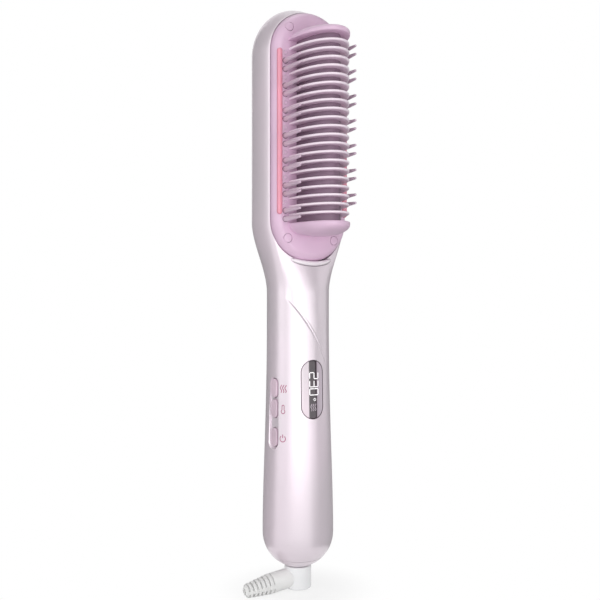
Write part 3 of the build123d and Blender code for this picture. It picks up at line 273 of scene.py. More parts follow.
@dataclass(frozen=True)
class Pearl(Moulding):
    """Pearl lacquer: fine flakes under a clear coat, a little pinker in patches."""

    warm: Triple = (235, 221, 231)
    bright: Triple = (252, 246, 250)

    def colour_socket(self, maker: NodeMaker) -> Socket:
        """Lilac lacquer with pink drift and bright flakes.

        Args:
            maker: of the material's tree.

        Returns:
            The colour's socket.
        """
        cloud = maker.noise(0.045).ramp(0.35, 0.7)
        flake = maker.noise(0.00025, 1.0).ramp(0.62, 0.8)
        base = maker.mix(cloud, tint(*self.colour), tint(*self.warm))
        return maker.mix(flake * 0.22, base, tint(*self.bright))


@dataclass(frozen=True)
class Brushed(Moulding):
    """Metal with fine lines along one axis."""

    lines: Triple = (1.0, 1.0, 0.05)

    def height(self, maker: NodeMaker) -> Value:
        """Line height from 0 to 1."""
        return maker.noise(self.grain_size, 3.0, self.lines)


@dataclass(frozen=True)
class Window(Moulding):
    """Gloss window: smoked stripe over the digits, with painted reflection in the margins beside
    it, pale on the left and grey on the right.
    """

    stripe_middle: float = -0.0005
    stripe_half: float = 0.00218
    edge: float = 0.00025

    def colour_socket(self, maker: NodeMaker) -> Socket:
        """Painted reflection in the pink left margin, smoked stripe, and painted reflection in the
        grey right margin, from left to right.

        Args:
            maker: of the material's tree.

        Returns:
            The colour's socket.
        """
        across, _, up = maker.axes()
        dark = maker.clouds(0.006, tint(50, 37, 47), tint(64, 48, 58))
        # painted reflection: the pale left margin, paler towards the bottom
        left = maker.mix(up.ramp(0.008, 0.038), tint(240, 222, 232), tint(226, 214, 222))
        # painted reflection: the grey right margin, lighter towards the right
        right = maker.mix(across.ramp(0.001, 0.0062), tint(190, 176, 188), tint(206, 192, 204))
        side = across.ramp(self.stripe_middle - self.edge, self.stripe_middle + self.edge)
        away = (across - self.stripe_middle).size()
        outside = away.ramp(self.stripe_half - self.edge, self.stripe_half + self.edge)
        return maker.mix(outside, dark, maker.mix(side, left, right))


@dataclass(frozen=True)
class Lit(Moulding):
    """Lit segment under the window."""

    strength: float = 0.55

    def inputs(self, maker: NodeMaker) -> dict[str, object]:
        """Adds the segment's own light."""
        light = {"Emission Color": tint(*self.colour), "Emission Strength": self.strength}
        return super().inputs(maker) | light


@dataclass(frozen=True)
class PaintedLightBlade(Moulding):
    """Satin blade with painted shade that deepens its colour towards its foot and a painted
    highlight along its outer edge.
    """

    # painted shade: the colour at the blade's foot
    foot: Triple = (200, 174, 195)
    # painted highlight: the colour at the blade's outer edge
    edge: Triple = (255, 240, 251)
    reach: float = 0.0256
    half_width: float = 0.0133
    plate: float = 0.0149

    def colour_socket(self, maker: NodeMaker) -> bpy.types.NodeSocket:
        """Colour from the painted shade at the foot to the painted highlight on the outer edge.

        Args:
            maker: of the material's tree.

        Returns:
            The colour's socket.
        """
        across, deep, _ = maker.axes()
        over = (across / self.half_width) ** 2.0
        out = ((deep + self.plate) / self.reach) ** 2.0
        distance = (over + out) ** 0.5
        # painted shade that darkens the blade towards its foot
        body = maker.mix(distance.ramp(0.45, 0.9), tint(*self.foot), tint(*self.colour))
        drift = maker.noise(self.drift_size).ramp(0.3, 0.7)
        body = maker.mix(drift * self.drift, body, tint(236, 220, 232))
        # painted highlight along the blade's outer edge
        return maker.mix(distance.ramp(0.93, 0.99), body, tint(*self.edge))


class Slot(Enum):
    """The record's material slots, each with its finish."""

    shell = Pearl("pearl_lacquer", (229, 218, 226), 0.34, 0.4, drift=0.03, gloss_drift=0.04,
                  grain_size=0.0022, grain_depth=0.0000015, coat=0.5, coat_roughness=0.2)
    plate = Moulding("mauve_satin", (233, 199, 225), 0.36, drift=0.04, coat=0.2,
                     coat_roughness=0.25)
    fins = PaintedLightBlade("comb_satin_painted_light", (232, 210, 226), 0.34, drift=0.3, grain_size=0.0007)
    teeth = Moulding("tooth_satin", (222, 198, 216), 0.36, drift=0.06)
    strip = Moulding("salmon_gloss", (252, 166, 188), 0.22, drift=0.05, coat=0.3, glow=0.1)
    core = Moulding("ceramic_coat", (146, 120, 140), 0.45, drift=0.12, grain_depth=0.00001)
    ptc = Moulding("heating_ceramic", (122, 116, 110), 0.8, drift=0.2)
    electrodes = Brushed("plain_aluminium", (196, 196, 199), 0.32, 1.0)
    film = Moulding("amber_film", (205, 140, 52), 0.25, drift=0.1, alpha=0.85)
    inner_plastic = Moulding("natural_nylon", (224, 220, 210), 0.5)
    silicone = Moulding("clear_silicone", (222, 222, 220), 0.35, alpha=0.8)
    tank = Moulding("clear_tank", (214, 224, 232), 0.12, alpha=0.45)
    dark_plastic = Moulding("black_nylon", (30, 30, 33), 0.45, drift=0.2)
    plug_rubber = Moulding("mauve_rubber", (206, 178, 198), 0.6, drift=0.08,
                           grain_depth=0.000012)
    screw_steel = Brushed("zinc_steel", (170, 170, 173), 0.3, 1.0)
    lens = Window("smoked_window_painted_reflection", (80, 68, 78), 0.09, gloss_drift=0.03,
                  grain_depth=0.000001, coat=0.6, coat_roughness=0.03)
    board = Moulding("green_laminate", (34, 96, 62), 0.4, drift=0.15)
    button = Moulding("button_satin", (228, 204, 219), 0.3, drift=0.04, coat=0.3)
    capacitor = Moulding("yellow_case", (214, 182, 82), 0.4)
    fuse_glass = Moulding("fuse_glass", (222, 228, 228), 0.05, alpha=0.35)
    wire = Moulding("wire_silicone", (208, 206, 200), 0.45)
    white_plastic = Moulding("white_gloss", (248, 249, 250), 0.25, drift=0.02, coat=0.2)
    white_rubber = Moulding("white_rubber", (244, 244, 243), 0.5, drift=0.03,
                            grain_depth=0.00001)
    brass = Brushed("plain_brass", (212, 178, 104), 0.28, 1.0)


class Ink(Enum):
    """Finishes that lie on the pieces and have no slot of their own."""

    icon = Moulding("icon_ink", (188, 88, 130), 0.4, drift=0.1)
    lit = Lit("lit_segment", (250, 248, 250), 0.3)
    dim = Lit("dim_segment", (196, 182, 194), 0.3, strength=0.1)
    # painted shade: dark ring in the gap round the window
    seal = Moulding("window_gap_painted_shade", (72, 56, 68), 0.45, drift=0.1)
    # painted highlight: a lighter copy of the shell's pearl for the lip bead
    lip = Moulding("lip_painted_highlight", (250, 242, 248), 0.3, drift=0.02, coat=0.4)
    # painted shade: dark ring round each tooth's root
    socket = Moulding("tooth_root_painted_shade", (136, 106, 128), 0.6, drift=0.15)


# ---------------------------------------------------------------- mesh building
def link(name: str, data: bpy.types.ID) -> Item:
    """Makes an object and links it to the scene.

    Args:
        name: the object's name.
        data: its mesh, lamp or camera.

    Returns:
        The object.
    """
    item = bpy.data.objects.new(name, data)
    bpy.context.scene.collection.objects.link(item)
    return item


def finish_mesh(name: str, shape: bmesh.types.BMesh) -> Item:
    """Makes an object of a mesh under work.

    Args:
        name: the object's name.
        shape: the mesh, which is used up.

    Returns:
        The object, linked to the scene.
    """
    mesh = bpy.data.meshes.new(name)
    shape.to_mesh(mesh)
    shape.free()
    return link(name, mesh)


def from_arrays(name: str, points: Sequence[Sequence[float]], faces: Sequence[Sequence[int]],
                weld: float = 0.002) -> Item:
    """Makes an object of points and faces, welded and with its faces outwards.

    Args:
        name: the object's name.
        points: corners in millimetres.
        faces: corner numbers of each face.
        weld: corners closer than this, in millimetres, become one.

    Returns:
        The object, linked to the scene.
    """
    mesh = bpy.data.meshes.new(name)
    mesh.from_pydata((np.asarray(points, float) * MM).tolist(), [], [list(f) for f in faces])
    shape = bmesh.new()
    shape.from_mesh(mesh)
    bmesh.ops.remove_doubles(shape, verts=shape.verts, dist=weld * MM)
    bmesh.ops.dissolve_degenerate(shape, edges=shape.edges, dist=weld * MM / 2)
    bmesh.ops.recalc_face_normals(shape, faces=shape.faces)
    shape.to_mesh(mesh)
    shape.free()
    return link(name, mesh)


def grid_faces(rows: int, columns: int, around: bool = True, first: bool = False,
               last: bool = False) -> list[tuple[int, ...]]:
    """Quads between rows of points.

    Args:
        rows: how many rows.
        columns: points in each.
        around: whether each row closes on itself.
        first: whether a lid closes the first row.
        last: whether a lid closes the last row.

    Returns:
        The corner numbers of each face.
    """
    faces = []
    for i in range(rows - 1):
        for j in range(columns if around else columns - 1):
            k = (j + 1) % columns
            near, far = i * columns, (i + 1) * columns
            faces.append((near + j, near + k, far + k, far + j))
    if first:
        faces.append(tuple(range(columns)))
    if last:
        faces.append(tuple(range((rows - 1) * columns, rows * columns)))
    return faces


def ease(value: Array | float) -> Array:
    """Smooth step from 0 to 1."""
    value = np.clip(value, 0, 1)
    return value * value * (3 - 2 * value)


def quarter(steps: int, first: int = 0) -> list[Pair]:
    """Cosine and sine at equal steps of a quarter turn, from one of them on."""
    turns = [math.pi / 2 * k / steps for k in range(first, steps + 1)]
    return [(math.cos(turn), math.sin(turn)) for turn in turns]


def settle(item: Item) -> Item:
    """Turns an object's modifiers into a plain mesh.

    Args:
        item: the object.

    Returns:
        The same object, with no modifier left.
    """
    graph = bpy.context.evaluated_depsgraph_get()
    graph.update()
    mesh = bpy.data.meshes.new_from_object(item.evaluated_get(graph), depsgraph=graph)
    item.modifiers.clear()
    item.data = mesh
    return item


def carve(item: Item, cutters: Sequence[Item],
          operation: str = "DIFFERENCE") -> Item:
    """Cuts each cutter out of an object, or keeps only what lies inside it.

    Args:
        item: the object that is cut.
        cutters: closed shapes, which are used up.
        operation: DIFFERENCE or INTERSECT.

    Returns:
        The cut object.
    """
    for cutter in cutters:
        cut = item.modifiers.new("cut", "BOOLEAN")
        cut.operation = operation
        cut.solver = "EXACT"
        cut.object = cutter
    settle(item)
    for cutter in cutters:
        bpy.data.objects.remove(cutter)
    return item


def smooth(item: Item, angle: float = 35.0) -> Item:
    """Shades smooth, with sharp edges kept sharp.

    Args:
        item: the object.
        angle: of the least edge that counts as sharp, in degrees.

    Returns:
        The object.
    """
    item.data.shade_smooth()
    item.data.set_sharp_from_angle(angle=math.radians(angle))
    return item


def keep_curve(item: Item, form: bpy.types.Mesh,
               touching: float = 0.05) -> Item:
    """Gives the faces left uncut the smooth normals of the form that they came from.

    Args:
        item: the cut object.
        form: the whole form's mesh.
        touching: how near the form a face of it lies, in millimetres.

    Returns:
        The object.
    """
    corners = [v.co.copy() for v in form.vertices]
    bends = [v.normal.copy() for v in form.vertices]
    polygons = [tuple(p.vertices) for p in form.polygons]
    tree = BVHTree.FromPolygons(corners, polygons)
    mesh = smooth(item).data
    normals = [Vector(n.vector) for n in mesh.corner_normals]
    known: dict[int, Vector] = {}
    for polygon in mesh.polygons:
        _, facing, _, distance = tree.find_nearest(polygon.center)
        if distance > touching * MM or facing.dot(polygon.normal) < 0.9:
            continue
        for loop in polygon.loop_indices:
            corner = mesh.loops[loop].vertex_index
            if corner not in known:
                spot, _, face, _ = tree.find_nearest(mesh.vertices[corner].co)
                ring = polygons[face]
                shares = poly_3d_calc([corners[i] for i in ring], spot)
                total = Vector((0, 0, 0))
                for share, i in zip(shares, ring):
                    total += bends[i] * share
                known[corner] = total.normalized()
            normals[loop] = known[corner]
    mesh.normals_split_custom_set([tuple(n) for n in normals])
    return item


def front_place(x: float, z: float) -> Place:
    """Places a shape that faces the front; its height is the distance forward.

    Args:
        x: across.
        z: up.

    Returns:
        What puts across, along and height in space.
    """
    def place(u: Array, v: Array, h: Array) -> Array:
        """Across, up and forward."""
        return np.stack([x + u, -h + 0 * u, z + v], -1)
    return place


def pill(name: str, half_width: float, half_span: float, rings: Sequence[Pair],
         place: Place, arc_steps: int = 20, side_steps: int = 1, hoop: bool = False) -> Item:
    """Solid with a stadium outline, built from rings.

    Args:
        name: the object's name.
        half_width: half the outline's width.
        half_span: half the distance between the centres of its round ends.
        rings: inset and height of each ring, from the back round the edge to the front.
        place: puts across, along and height in space.
        arc_steps: steps in each round end.
        side_steps: steps along each side.
        hoop: whether the rings close on themselves as a ring-shaped solid.

    Returns:
        The solid.
    """
    half = [(math.pi * k / arc_steps, 1.0) for k in range(arc_steps + 1)]
    half += [(math.pi, 1 - 2 * k / side_steps) for k in range(1, side_steps)]
    angle = np.array([a for a, _ in half] + [math.pi + a for a, _ in half])
    along = np.array([s for _, s in half] + [-s for _, s in half]) * half_span
    points = []
    for inset, height in rings:
        radius = half_width - inset
        u = radius * np.cos(angle)
        points.append(place(u, along + radius * np.sin(angle), np.full_like(u, height)))
    open_ends = [not hoop and rings[i][0] < half_width for i in (0, -1)]
    faces = grid_faces(len(rings), len(angle), True, *open_ends)
    if hoop:
        count = len(angle)
        last = (len(rings) - 1) * count
        faces += [(last + j, last + (j + 1) % count, (j + 1) % count, j) for j in range(count)]
    return from_arrays(name, np.concatenate(points), faces)


def round_edge(half_width: float, back: float, front: float, radius: float,
               steps: int = 6, crown: float = 0.0) -> list[Pair]:
    """Rings of a solid with a flat back and a rounded front edge.

    Args:
        half_width: half the outline's width, to close both faces at the middle.
        back: height of the back.
        front: height of the front.
        radius: of the rounded edge.
        steps: in the rounded edge.
        crown: how much the middle of the front rises.

    Returns:
        Inset and height of each ring.
    """
    rings = [(half_width, back), (0.0, back)]
    rings += [(radius * (1 - c), front - radius * (1 - s)) for c, s in quarter(steps)]
    for share in (0.25, 0.5, 0.75, 1.0):
        inset = radius + (half_width - radius) * share
        rings.append((inset, front + crown * (1 - (1 - share) ** 2)))
    return rings


def turned(name: str, profile: Sequence[Pair], to_space: Matrix | None = None,
           steps: int = 48) -> Item:
    """Turned solid round the Z axis.

    Args:
        name: the object's name.
        profile: radius and height of each corner, closed if first and last are the same.
        to_space: moves it from the Z axis to its place, in millimetres.
        steps: round the turn.

    Returns:
        The solid.
    """
    turns = np.linspace(0, 2 * math.pi, steps, endpoint=False)
    cloud = np.concatenate([
        np.stack([r * np.cos(turns), r * np.sin(turns), np.full(steps, h)], -1)
        for r, h in profile
    ])
    if to_space is not None:
        matrix = np.array(to_space)
        cloud = cloud @ matrix[:3, :3].T + matrix[:3, 3]
    lids = [profile[0] != profile[-1] and profile[i][0] > 0 for i in (0, -1)]
    return from_arrays(name, cloud, grid_faces(len(profile), steps, True, *lids))


def bar(name: str, edges: Sequence[Array], weld: float = 0.002) -> Item:
    """Closed solid between edges that run side by side.

    Args:
        name: the object's name.
        edges: the points along each edge, in order round the solid.
        weld: corners closer than this, in millimetres, become one.

    Returns:
        The solid.
    """
    cloud = np.stack(edges, 1).reshape(-1, 3)
    return from_arrays(name, cloud, grid_faces(len(edges[0]), len(edges), True, True, True), weld)


def join(name: str, items: Sequence[Item]) -> Item:
    """Puts the meshes of several objects into one.

    Args:
        name: the new object's name.
        items: the objects, which are used up.

    Returns:
        The new object.
    """
    shape = bmesh.new()
    for item in items:
        shape.from_mesh(item.data)
        bpy.data.objects.remove(item)
    return finish_mesh(name, shape)


# ---------------------------------------------------------------- rows of repeated pieces
class RowTree:
    """Geometry Nodes tree that repeats the object's own shape along a line."""

    SOCKETS = {
        "Count": "Int",
        "Start": "Vector",
        "Step": "Vector",
        "End Scale": "Float",
        "Leave Out Every": "Int",
        "Leave Out From": "Int",
        "Keep Only Those": "Bool",
        "Finish": "Material",
    }

    def __init__(self) -> None:
        """Builds the tree."""
        self.tree = bpy.data.node_groups.new("row_of_pieces", "GeometryNodeTree")
        face = self.tree.interface
        face.new_socket("Shape", in_out="INPUT", socket_type="NodeSocketGeometry")
        self.names = {
            name: face.new_socket(name, in_out="INPUT", socket_type=f"NodeSocket{kind}").identifier
            for name, kind in self.SOCKETS.items()
        }
        face.new_socket("Row", in_out="OUTPUT", socket_type="NodeSocketGeometry")
        self._build()

    def _build(self) -> None:
        """Lays the nodes: a line of points, some left out, and a shape on each."""
        maker = NodeMaker(self.tree)

        def node(kind: str, inputs: Mapping[str | int, object] | None = None,
                 **settings: object) -> Socket:
            """The first output of a new node."""
            return maker.make(kind, inputs, **settings).outputs[0]

        def test(kind: str, operation: str, first: object, second: object) -> Socket:
            """Compares two numbers, or combines two answers."""
            settings = {"data_type": "FLOAT"} if kind == "Compare" else {}
            return node(f"FunctionNode{kind}", {0: first, 1: second}, **settings,
                        operation=operation)

        given = maker.make("NodeGroupInput").outputs
        count, last_size, every, start = (
            Value(maker, given[name])
            for name in ("Count", "End Scale", "Leave Out Every", "Leave Out From")
        )
        index = Value(maker, node("GeometryNodeInputIndex"))
        line = node("GeometryNodeMeshLine", {
            "Count": count, "Start Location": given["Start"], "Offset": given["Step"],
        }, mode="OFFSET")
        named = test("Compare", "LESS_THAN", (index + start).modulo(every), 0.5)
        asked = test("Compare", "GREATER_THAN", every, 0.5)
        other = test("BooleanMath", "XOR", named, given["Keep Only Those"])
        sized = node("GeometryNodeStoreNamedAttribute", {
            "Geometry": line, "Name": "piece_size",
            "Value": (last_size - 1.0) * (index / (count - 1.0)) + 1.0,
        }, data_type="FLOAT", domain="POINT")
        kept = node("GeometryNodeDeleteGeometry", {
            "Geometry": sized, "Selection": test("BooleanMath", "AND", other, asked),
        }, domain="POINT")
        size = node("GeometryNodeInputNamedAttribute", {"Name": "piece_size"}, data_type="FLOAT")
        placed = node("GeometryNodeInstanceOnPoints", {
            "Points": kept, "Instance": given["Shape"], "Scale": size,
        })
        real = node("GeometryNodeRealizeInstances", {0: placed})
        coat = {"Geometry": real, "Material": given["Finish"]}
        maker.make("NodeGroupOutput", {0: node("GeometryNodeSetMaterial", coat)})

    def lay(self, item: Item, **values: object) -> Item:
        """Repeats an object's mesh and makes the result plain.

        Args:
            item: the object with one piece's mesh.
            values: inputs by name, with underscores for spaces; lengths in metres.

        Returns:
            The object with the whole row.
        """
        modifier = item.modifiers.new("row", "NODES")
        modifier.node_group = self.tree
        settings = {"Count": 1, "End Scale": 1.0, "Leave Out Every": 0}
        settings |= {key.replace("_", " "): value for key, value in values.items()}
        for key, value in settings.items():
            modifier[self.names[key]] = value
        settle(item)
        if "piece_size" in item.data.attributes:
            item.data.attributes.remove(item.data.attributes["piece_size"])
        return item


# ---------------------------------------------------------------- workshop
@dataclass
class Workshop:
    """What every sub-assembly needs: the materials, the row tree and the list of pieces."""

    materials: dict[Slot | Ink, bpy.types.Material] = field(default_factory=dict)
    rows: RowTree = field(default_factory=RowTree)
    pieces: list[Item] = field(default_factory=list)

    def material(self, finish: Slot | Ink) -> bpy.types.Material:
        """The material of a finish, built at its first use.

        Args:
            finish: the finish.

        Returns:
            Its material.
        """
        if finish not in self.materials:
            self.materials[finish] = finish.value.material()
        return self.materials[finish]

    def dress_nodes(self) -> None:
        """Gives every node that shows its own shape the finish of its slot."""
        slots = {row["node"]: row["material_slot"] for row in frame["record"]["subparts"]}
        for name, item in frame["nodes"].items():
            material = self.material(Slot[slots[name]])
            item.data.materials.clear()
            item.data.materials.append(material)
            log.info("%s shows as %s", name, material.name)

    def fit(self, item: Item, body: str, slot: Slot | None = None, ink: Ink | None = None,
            stands_for: Sequence[str] = ()) -> Item:
        """Finishes a piece and hands it to the frame.

        Args:
            item: the finished object.
            body: the body that it rides on.
            slot: its material slot.
            ink: its finish where it has no slot.
            stands_for: the nodes that it replaces.

        Returns:
            The piece.
        """
        if not item.data.materials:
            item.data.materials.append(None)
        item.data.materials[0] = self.material(ink or slot)
        if stands_for:
            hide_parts(*stands_for)
        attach(item, body)
        self.pieces.append(item)
        log.info("%s rides on %s with %d faces", item.name, body, len(item.data.polygons))
        return item


# ---------------------------------------------------------------- housing
@dataclass
class BodyForm:
    """Outer form of the housing: domed butt, round grip, shoulder and flat head."""

    waist_radius: float = 15.63
    butt_radius: float = 17.8
    waist_z: float = 70.4
    butt_z: float = -49.2
    shoulder_top_z: float = 106.6
    head_arc_z: float = 187.7
    head_half_width: float = 23.62
    front_half_width: float = 21.53
    head_front: float = 10.9
    head_back: float = 14.5
    rim_radius: float = 2.06
    back_corner: float = 12.76
    crest: float = 0.07          # how much taller the middle of the round top is
    inset: float = 0.0           # how far the whole form is shrunk
    node_angles: tuple[float, ...] = (55.0, 72.0, 100.0, 140.0)
    columns: tuple[int, ...] = (96, 8, 10, 14, 20, 14, 10, 8)
    rows: tuple[int, ...] = (36, 120, 42, 26)  # in grip, fold, shoulder and head
    arc_rows: int = 56
    dome_rows: int = 14
    fold_places: tuple[Pair, ...] = (
        (-51.0, 68.0), (-23.0, 59.9), (-3.0, 51.6), (20.0, 41.4), (28.0, 37.6))
    fold_low_z: float = 34.0
    fold_depth: float = 0.75
    fold_return: float = 6.0
    fold_width: float = 0.16
    groove_depth: float = 0.3
    groove_width: float = 0.3
    fold_ends: tuple[Pair, Pair] = ((1.0, 4.0), (2.0, 5.0))  # reach past and fading, each end
    fold_fade: Pair = (12.0, 14.0)  # over the waist, and how long
    ridge_height: float = 0.36
    ridge_place: float = 0.65    # over the groove
    ridge_late: Pair = (4.0, 14.0)  # where it starts and how long it grows
    tube_waist: float = 3.14     # how long the grip stays at its waist radius

    def radius(self, z: Array | float) -> Array:
        """Radius of the round grip at a height.

        Args:
            z: heights.

        Returns:
            The radii.
        """
        t = np.clip((self.waist_z - np.asarray(z, float)) / (self.waist_z - self.butt_z), 0, 1)
        swell = 3 * t**2 - 2 * t**3 - self.tube_waist * t**2 * (1 - t) ** 2
        return self.waist_radius + (self.butt_radius - self.waist_radius) * swell - self.inset

    def _round_curves(self, radius: float) -> list[Array]:
        """Control points of eight curves round a circle.

        Args:
            radius: of the circle.

        Returns:
            Four points for each curve.
        """
        lows = self.node_angles
        angles = [-lows[0], *lows] + [360 - a for a in reversed(lows)]
        curves = []
        for start, end in zip(angles[:-1], angles[1:]):
            handle = 4 / 3 * math.tan(math.radians(end - start) / 4) * radius
            first, last = math.radians(start), math.radians(end)
            p0 = np.array((radius * math.sin(first), -radius * math.cos(first)))
            p3 = np.array((radius * math.sin(last), -radius * math.cos(last)))
            p1 = p0 + np.array((math.cos(first), math.sin(first))) * handle
            p2 = p3 - np.array((math.cos(last), math.sin(last))) * handle
            curves.append(np.array((p0, p1, p2, p3)))
        return curves

    def _head_curves(self) -> list[Array]:
        """Control points of eight curves round the head's section.

        Returns:
            Four points for each curve.
        """
        width, edge = self.head_half_width - self.inset, self.front_half_width - self.inset
        front, back = self.head_front - self.inset, self.head_back - self.inset
        rim, corner = max(self.rim_radius - self.inset, 0.5), self.back_corner - self.inset
        rise = back - corner + front - rim
        swell = 2 * math.atan((width - edge) / rise)
        reach = 4 / 3 * math.tan(swell / 4) * rise / math.sin(swell)
        spots = np.array(((edge - rim, -front), (edge, rim - front), (width, back - corner),
                          (width - corner, back)))
        lean = np.array((math.sin(swell), math.cos(swell)))
        handle = 0.5523              # of a quarter circle
        right = [None, None, None]
        for i, turn in ((0, (edge - rim * math.tan(swell), -front)), (2, (width, back))):
            start, end = spots[i], spots[i + 1]
            right[i] = np.array((start, start + (turn - start) * handle,
                                 end + (turn - end) * handle, end))
        right[1] = np.array((spots[1], spots[1] + reach * lean, spots[2] - (0, reach), spots[2]))
        left = [curve[::-1] * (-1, 1) for curve in reversed(right)]
        thirds = np.linspace(-1, 1, 4)[:, None]
        front_line = spots[0] * (1, 1) + (thirds - 1) * (spots[0][0], 0)
        back_line = spots[3] * (1, 1) - (thirds + 1) * (spots[3][0], 0)
        return [front_line, *right, back_line, *left]

    def section(self, share: float) -> Array:
        """Points round the body between the grip and the head.

        Args:
            share: 0 at the grip, 1 at the head.

        Returns:
            The points, across and deep.
        """
        weight = ease(share)
        rows = []
        for around, square, steps in zip(
            self._round_curves(self.waist_radius - self.inset), self._head_curves(), self.columns
        ):
            p = around * (1 - weight) + square * weight
            u = (np.arange(steps) / steps)[:, None]
            v = 1 - u
            rows.append(p[0] * v**3 + p[1] * 3 * u * v**2 + p[2] * 3 * u**2 * v + p[3] * u**3)
        return np.concatenate(rows)

    def fold(self, angle: Array, z: float) -> Array:
        """How far the fold on the front of the grip sinks the surface.

        Args:
            angle: round the grip from the front, in radians.
            z: the height.

        Returns:
            The depth at each angle.
        """
        run = self.waist_radius * np.radians([a for a, _ in self.fold_places])
        rise = [h for _, h in self.fold_places]
        curve = np.polyfit(run, rise, 2)
        slope = np.polyder(curve)
        s = self.waist_radius * angle
        distance = (z - np.polyval(curve, s)) / np.sqrt(1 + np.polyval(slope, s) ** 2)
        step = 1 / (1 + np.exp(-np.clip(distance / self.fold_width, -40, 40)))
        back = np.exp(-np.clip(distance, 0, None) / self.fold_return)
        (before, first), (after, last) = self.fold_ends
        ends = ease((s - run[0] + before) / first) * ease((run[-1] + after - s) / last)
        groove = self.groove_depth * np.exp(-((distance / self.groove_width) ** 2))
        past = (distance - self.ridge_place) / self.groove_width
        late = ease((s - run[0] - self.ridge_late[0]) / self.ridge_late[1])
        ridge = self.ridge_height * np.exp(-(past**2))
        fade = ease((self.waist_z + self.fold_fade[0] - z) / self.fold_fade[1])
        return (self.fold_depth * step * back * fade + groove - ridge * late) * ends

    def rise(self, y: float) -> float:
        """How much the round top is stretched upwards at a depth."""
        return 1 + self.crest * ease((y + self.head_front - self.rim_radius) / self.head_front)

    def heights(self) -> Array:
        """Heights of the rows of points, closer where the fold runs.

        Returns:
            The heights, from below.
        """
        stops = (self.butt_z, self.fold_low_z, self.waist_z, self.shoulder_top_z, self.head_arc_z)
        rows = [np.linspace(low, high, count, endpoint=False)
                for low, high, count in zip(stops[:-1], stops[1:], self.rows)]
        return np.append(np.concatenate(rows), self.head_arc_z)

    def hollow(self, inset: float) -> "BodyForm":
        """The same form shrunk, with fewer points and no fold."""
        return replace(self, inset=inset, columns=(16, 4, 6, 8, 10, 8, 6, 4), rows=(14, 6, 14, 2),
                       arc_rows=32, fold_depth=0.0, groove_depth=0.0, ridge_height=0.0)

    def build(self) -> Item:
        """Builds the whole closed form.

        Returns:
            The form as one object.
        """
        base = self.section(0.0)
        angle = np.arctan2(base[:, 0], -base[:, 1])
        count = len(base)
        rows = []
        dome = self.butt_radius - self.inset
        for turn in np.linspace(math.pi / 2, 0, self.dome_rows, endpoint=False):
            radius = dome * math.cos(turn)
            z = self.butt_z - dome * math.sin(turn)
            rows.append(np.stack([radius * np.sin(angle), -radius * np.cos(angle),
                                  np.full(count, z)], -1))
        for z in self.heights():
            if z <= self.waist_z:
                radius = self.radius(z) - self.fold(angle, z)
                flat = np.stack([radius * np.sin(angle), -radius * np.cos(angle)], -1)
            else:
                share = (z - self.waist_z) / (self.shoulder_top_z - self.waist_z)
                flat = self.section(min(share, 1))
                sink = self.fold(angle, z) / np.linalg.norm(flat, axis=1)
                flat = flat * (1 - sink[:, None])
            rows.append(np.concatenate([flat, np.full((count, 1), z)], -1))
        faces = grid_faces(len(rows), count)
        points = list(np.concatenate(rows))
        # the round top of the head, from its right side over to its left
        middle_front = self.columns[0] // 2
        middle_back = sum(self.columns[:4]) + self.columns[4] // 2
        half = rows[-1][middle_front:middle_back + 1]
        start = len(points)
        steps = self.arc_rows
        for k in range(steps + 1):
            turn = math.pi * k / steps
            points += [
                (x * math.cos(turn), y, self.head_arc_z + x * math.sin(turn) * self.rise(y))
                for x, y, _ in half
            ]
        over = grid_faces(steps + 1, len(half), around=False)
        faces += [tuple(start + i for i in face) for face in over]
        return from_arrays("body_form", np.array(points), faces, weld=0.01)


